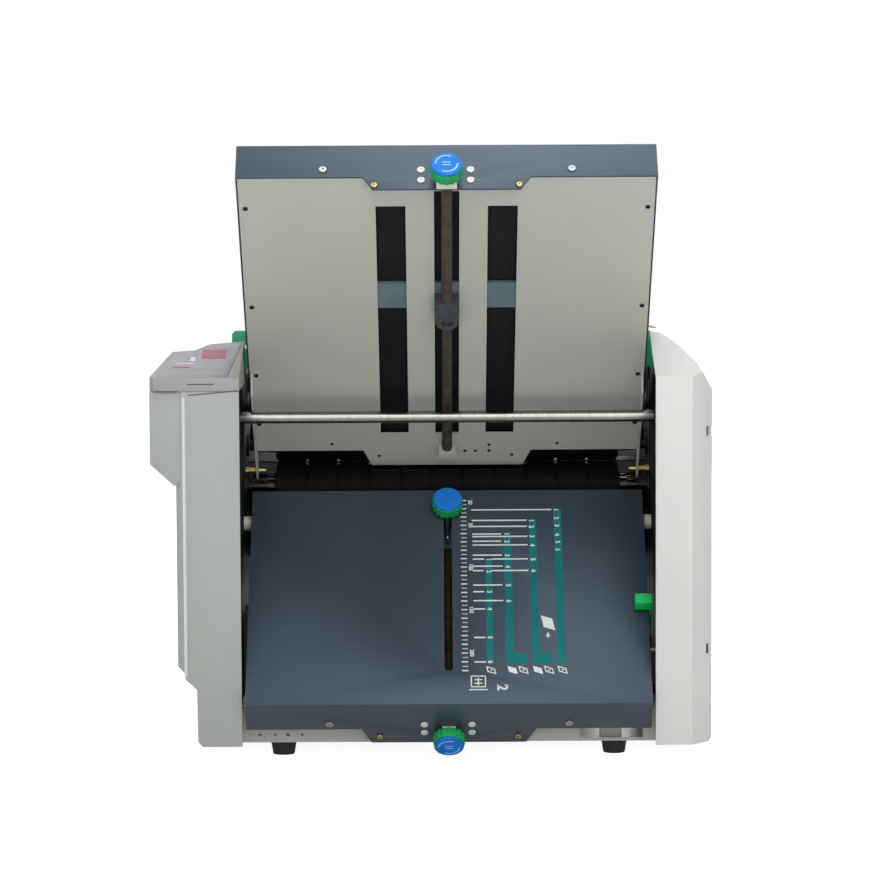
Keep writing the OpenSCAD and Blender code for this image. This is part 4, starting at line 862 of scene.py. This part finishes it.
world = bpy.data.worlds.new("studio")
world.use_nodes = True
bpy.context.scene.world = world
skyTree = world.node_tree
background = skyTree.nodes["Background"]
skyPath = addNode(skyTree, "ShaderNodeLightPath")
seenClear = addNode(skyTree, "ShaderNodeMath", {"operation": "MAXIMUM"},
                    i0=skyPath.outputs["Is Camera Ray"], i1=skyPath.outputs["Is Transmission Ray"])
seenSky = addNode(skyTree, "ShaderNodeMath", {"operation": "MAXIMUM"},
                  i0=seenClear.outputs[0], i1=skyPath.outputs["Is Glossy Ray"])
skyLevel = addNode(skyTree, "ShaderNodeMapRange", {"To Min": studio["skyLight"], "To Max": studio["skySeen"]},
                   Value=seenSky.outputs[0])
background.inputs["Color"].default_value = (1, 1, 1, 1)
skyTree.links.new(skyLevel.outputs[0], background.inputs["Strength"])


def addLamp(name, place, aim, size, power):
    bpy.ops.object.light_add(type="AREA", location=place)
    lamp = bpy.context.object
    lamp.name = name
    lamp.data.size = size
    lamp.data.energy = power
    lamp.rotation_euler = (Vector(aim) - Vector(place)).to_track_quat("-Z", "Y").to_euler()


# name, place, aim, size in metres, power in watts
lamps = [("softboxFront", (0.25, -2.0, 1.75), (0, -0.1, 0.25), 1.6, 24),
         ("softboxLow", (0.1, -2.4, 0.3), (0, -0.1, 0.25), 1.4, 13),
         ("softboxTop", (0.2, -0.45, 2.4), (0, -0.1, 0.2), 1.2, 21),
         ("softboxRight", (1.9, -1.9, 0.8), (0, 0, 0.25), 1.0, 3),
         ("softboxBack", (0.9, 2.2, 0.9), (0, 0, 0.25), 1.4, 30),
         ("softboxLeft", (-2.2, -0.4, 0.9), (0, 0, 0.25), 1.2, 10)]
deselectAll()
for lamp in lamps:
    addLamp(*lamp)

shot = {"lens": 146.1, "sensor": 36, "place": (0.0049, front - 3.2, 0.578), "pitchDown": 5.0, "roll": 0.3}
bpy.ops.object.camera_add(location=shot["place"])
camera = bpy.context.object
camera.name = "photoView"
camera.data.lens = shot["lens"]
camera.data.sensor_width = shot["sensor"]
camera.data.sensor_fit = "HORIZONTAL"
camera.matrix_world = (Matrix.Translation(shot["place"])
                       @ Matrix.Rotation(math.radians(90 - shot["pitchDown"]), 4, "X")
                       @ Matrix.Rotation(math.radians(-shot["roll"]), 4, "Z"))
bpy.context.scene.camera = camera
bpy.context.scene.view_settings.view_transform = "Standard"
print("stage set")
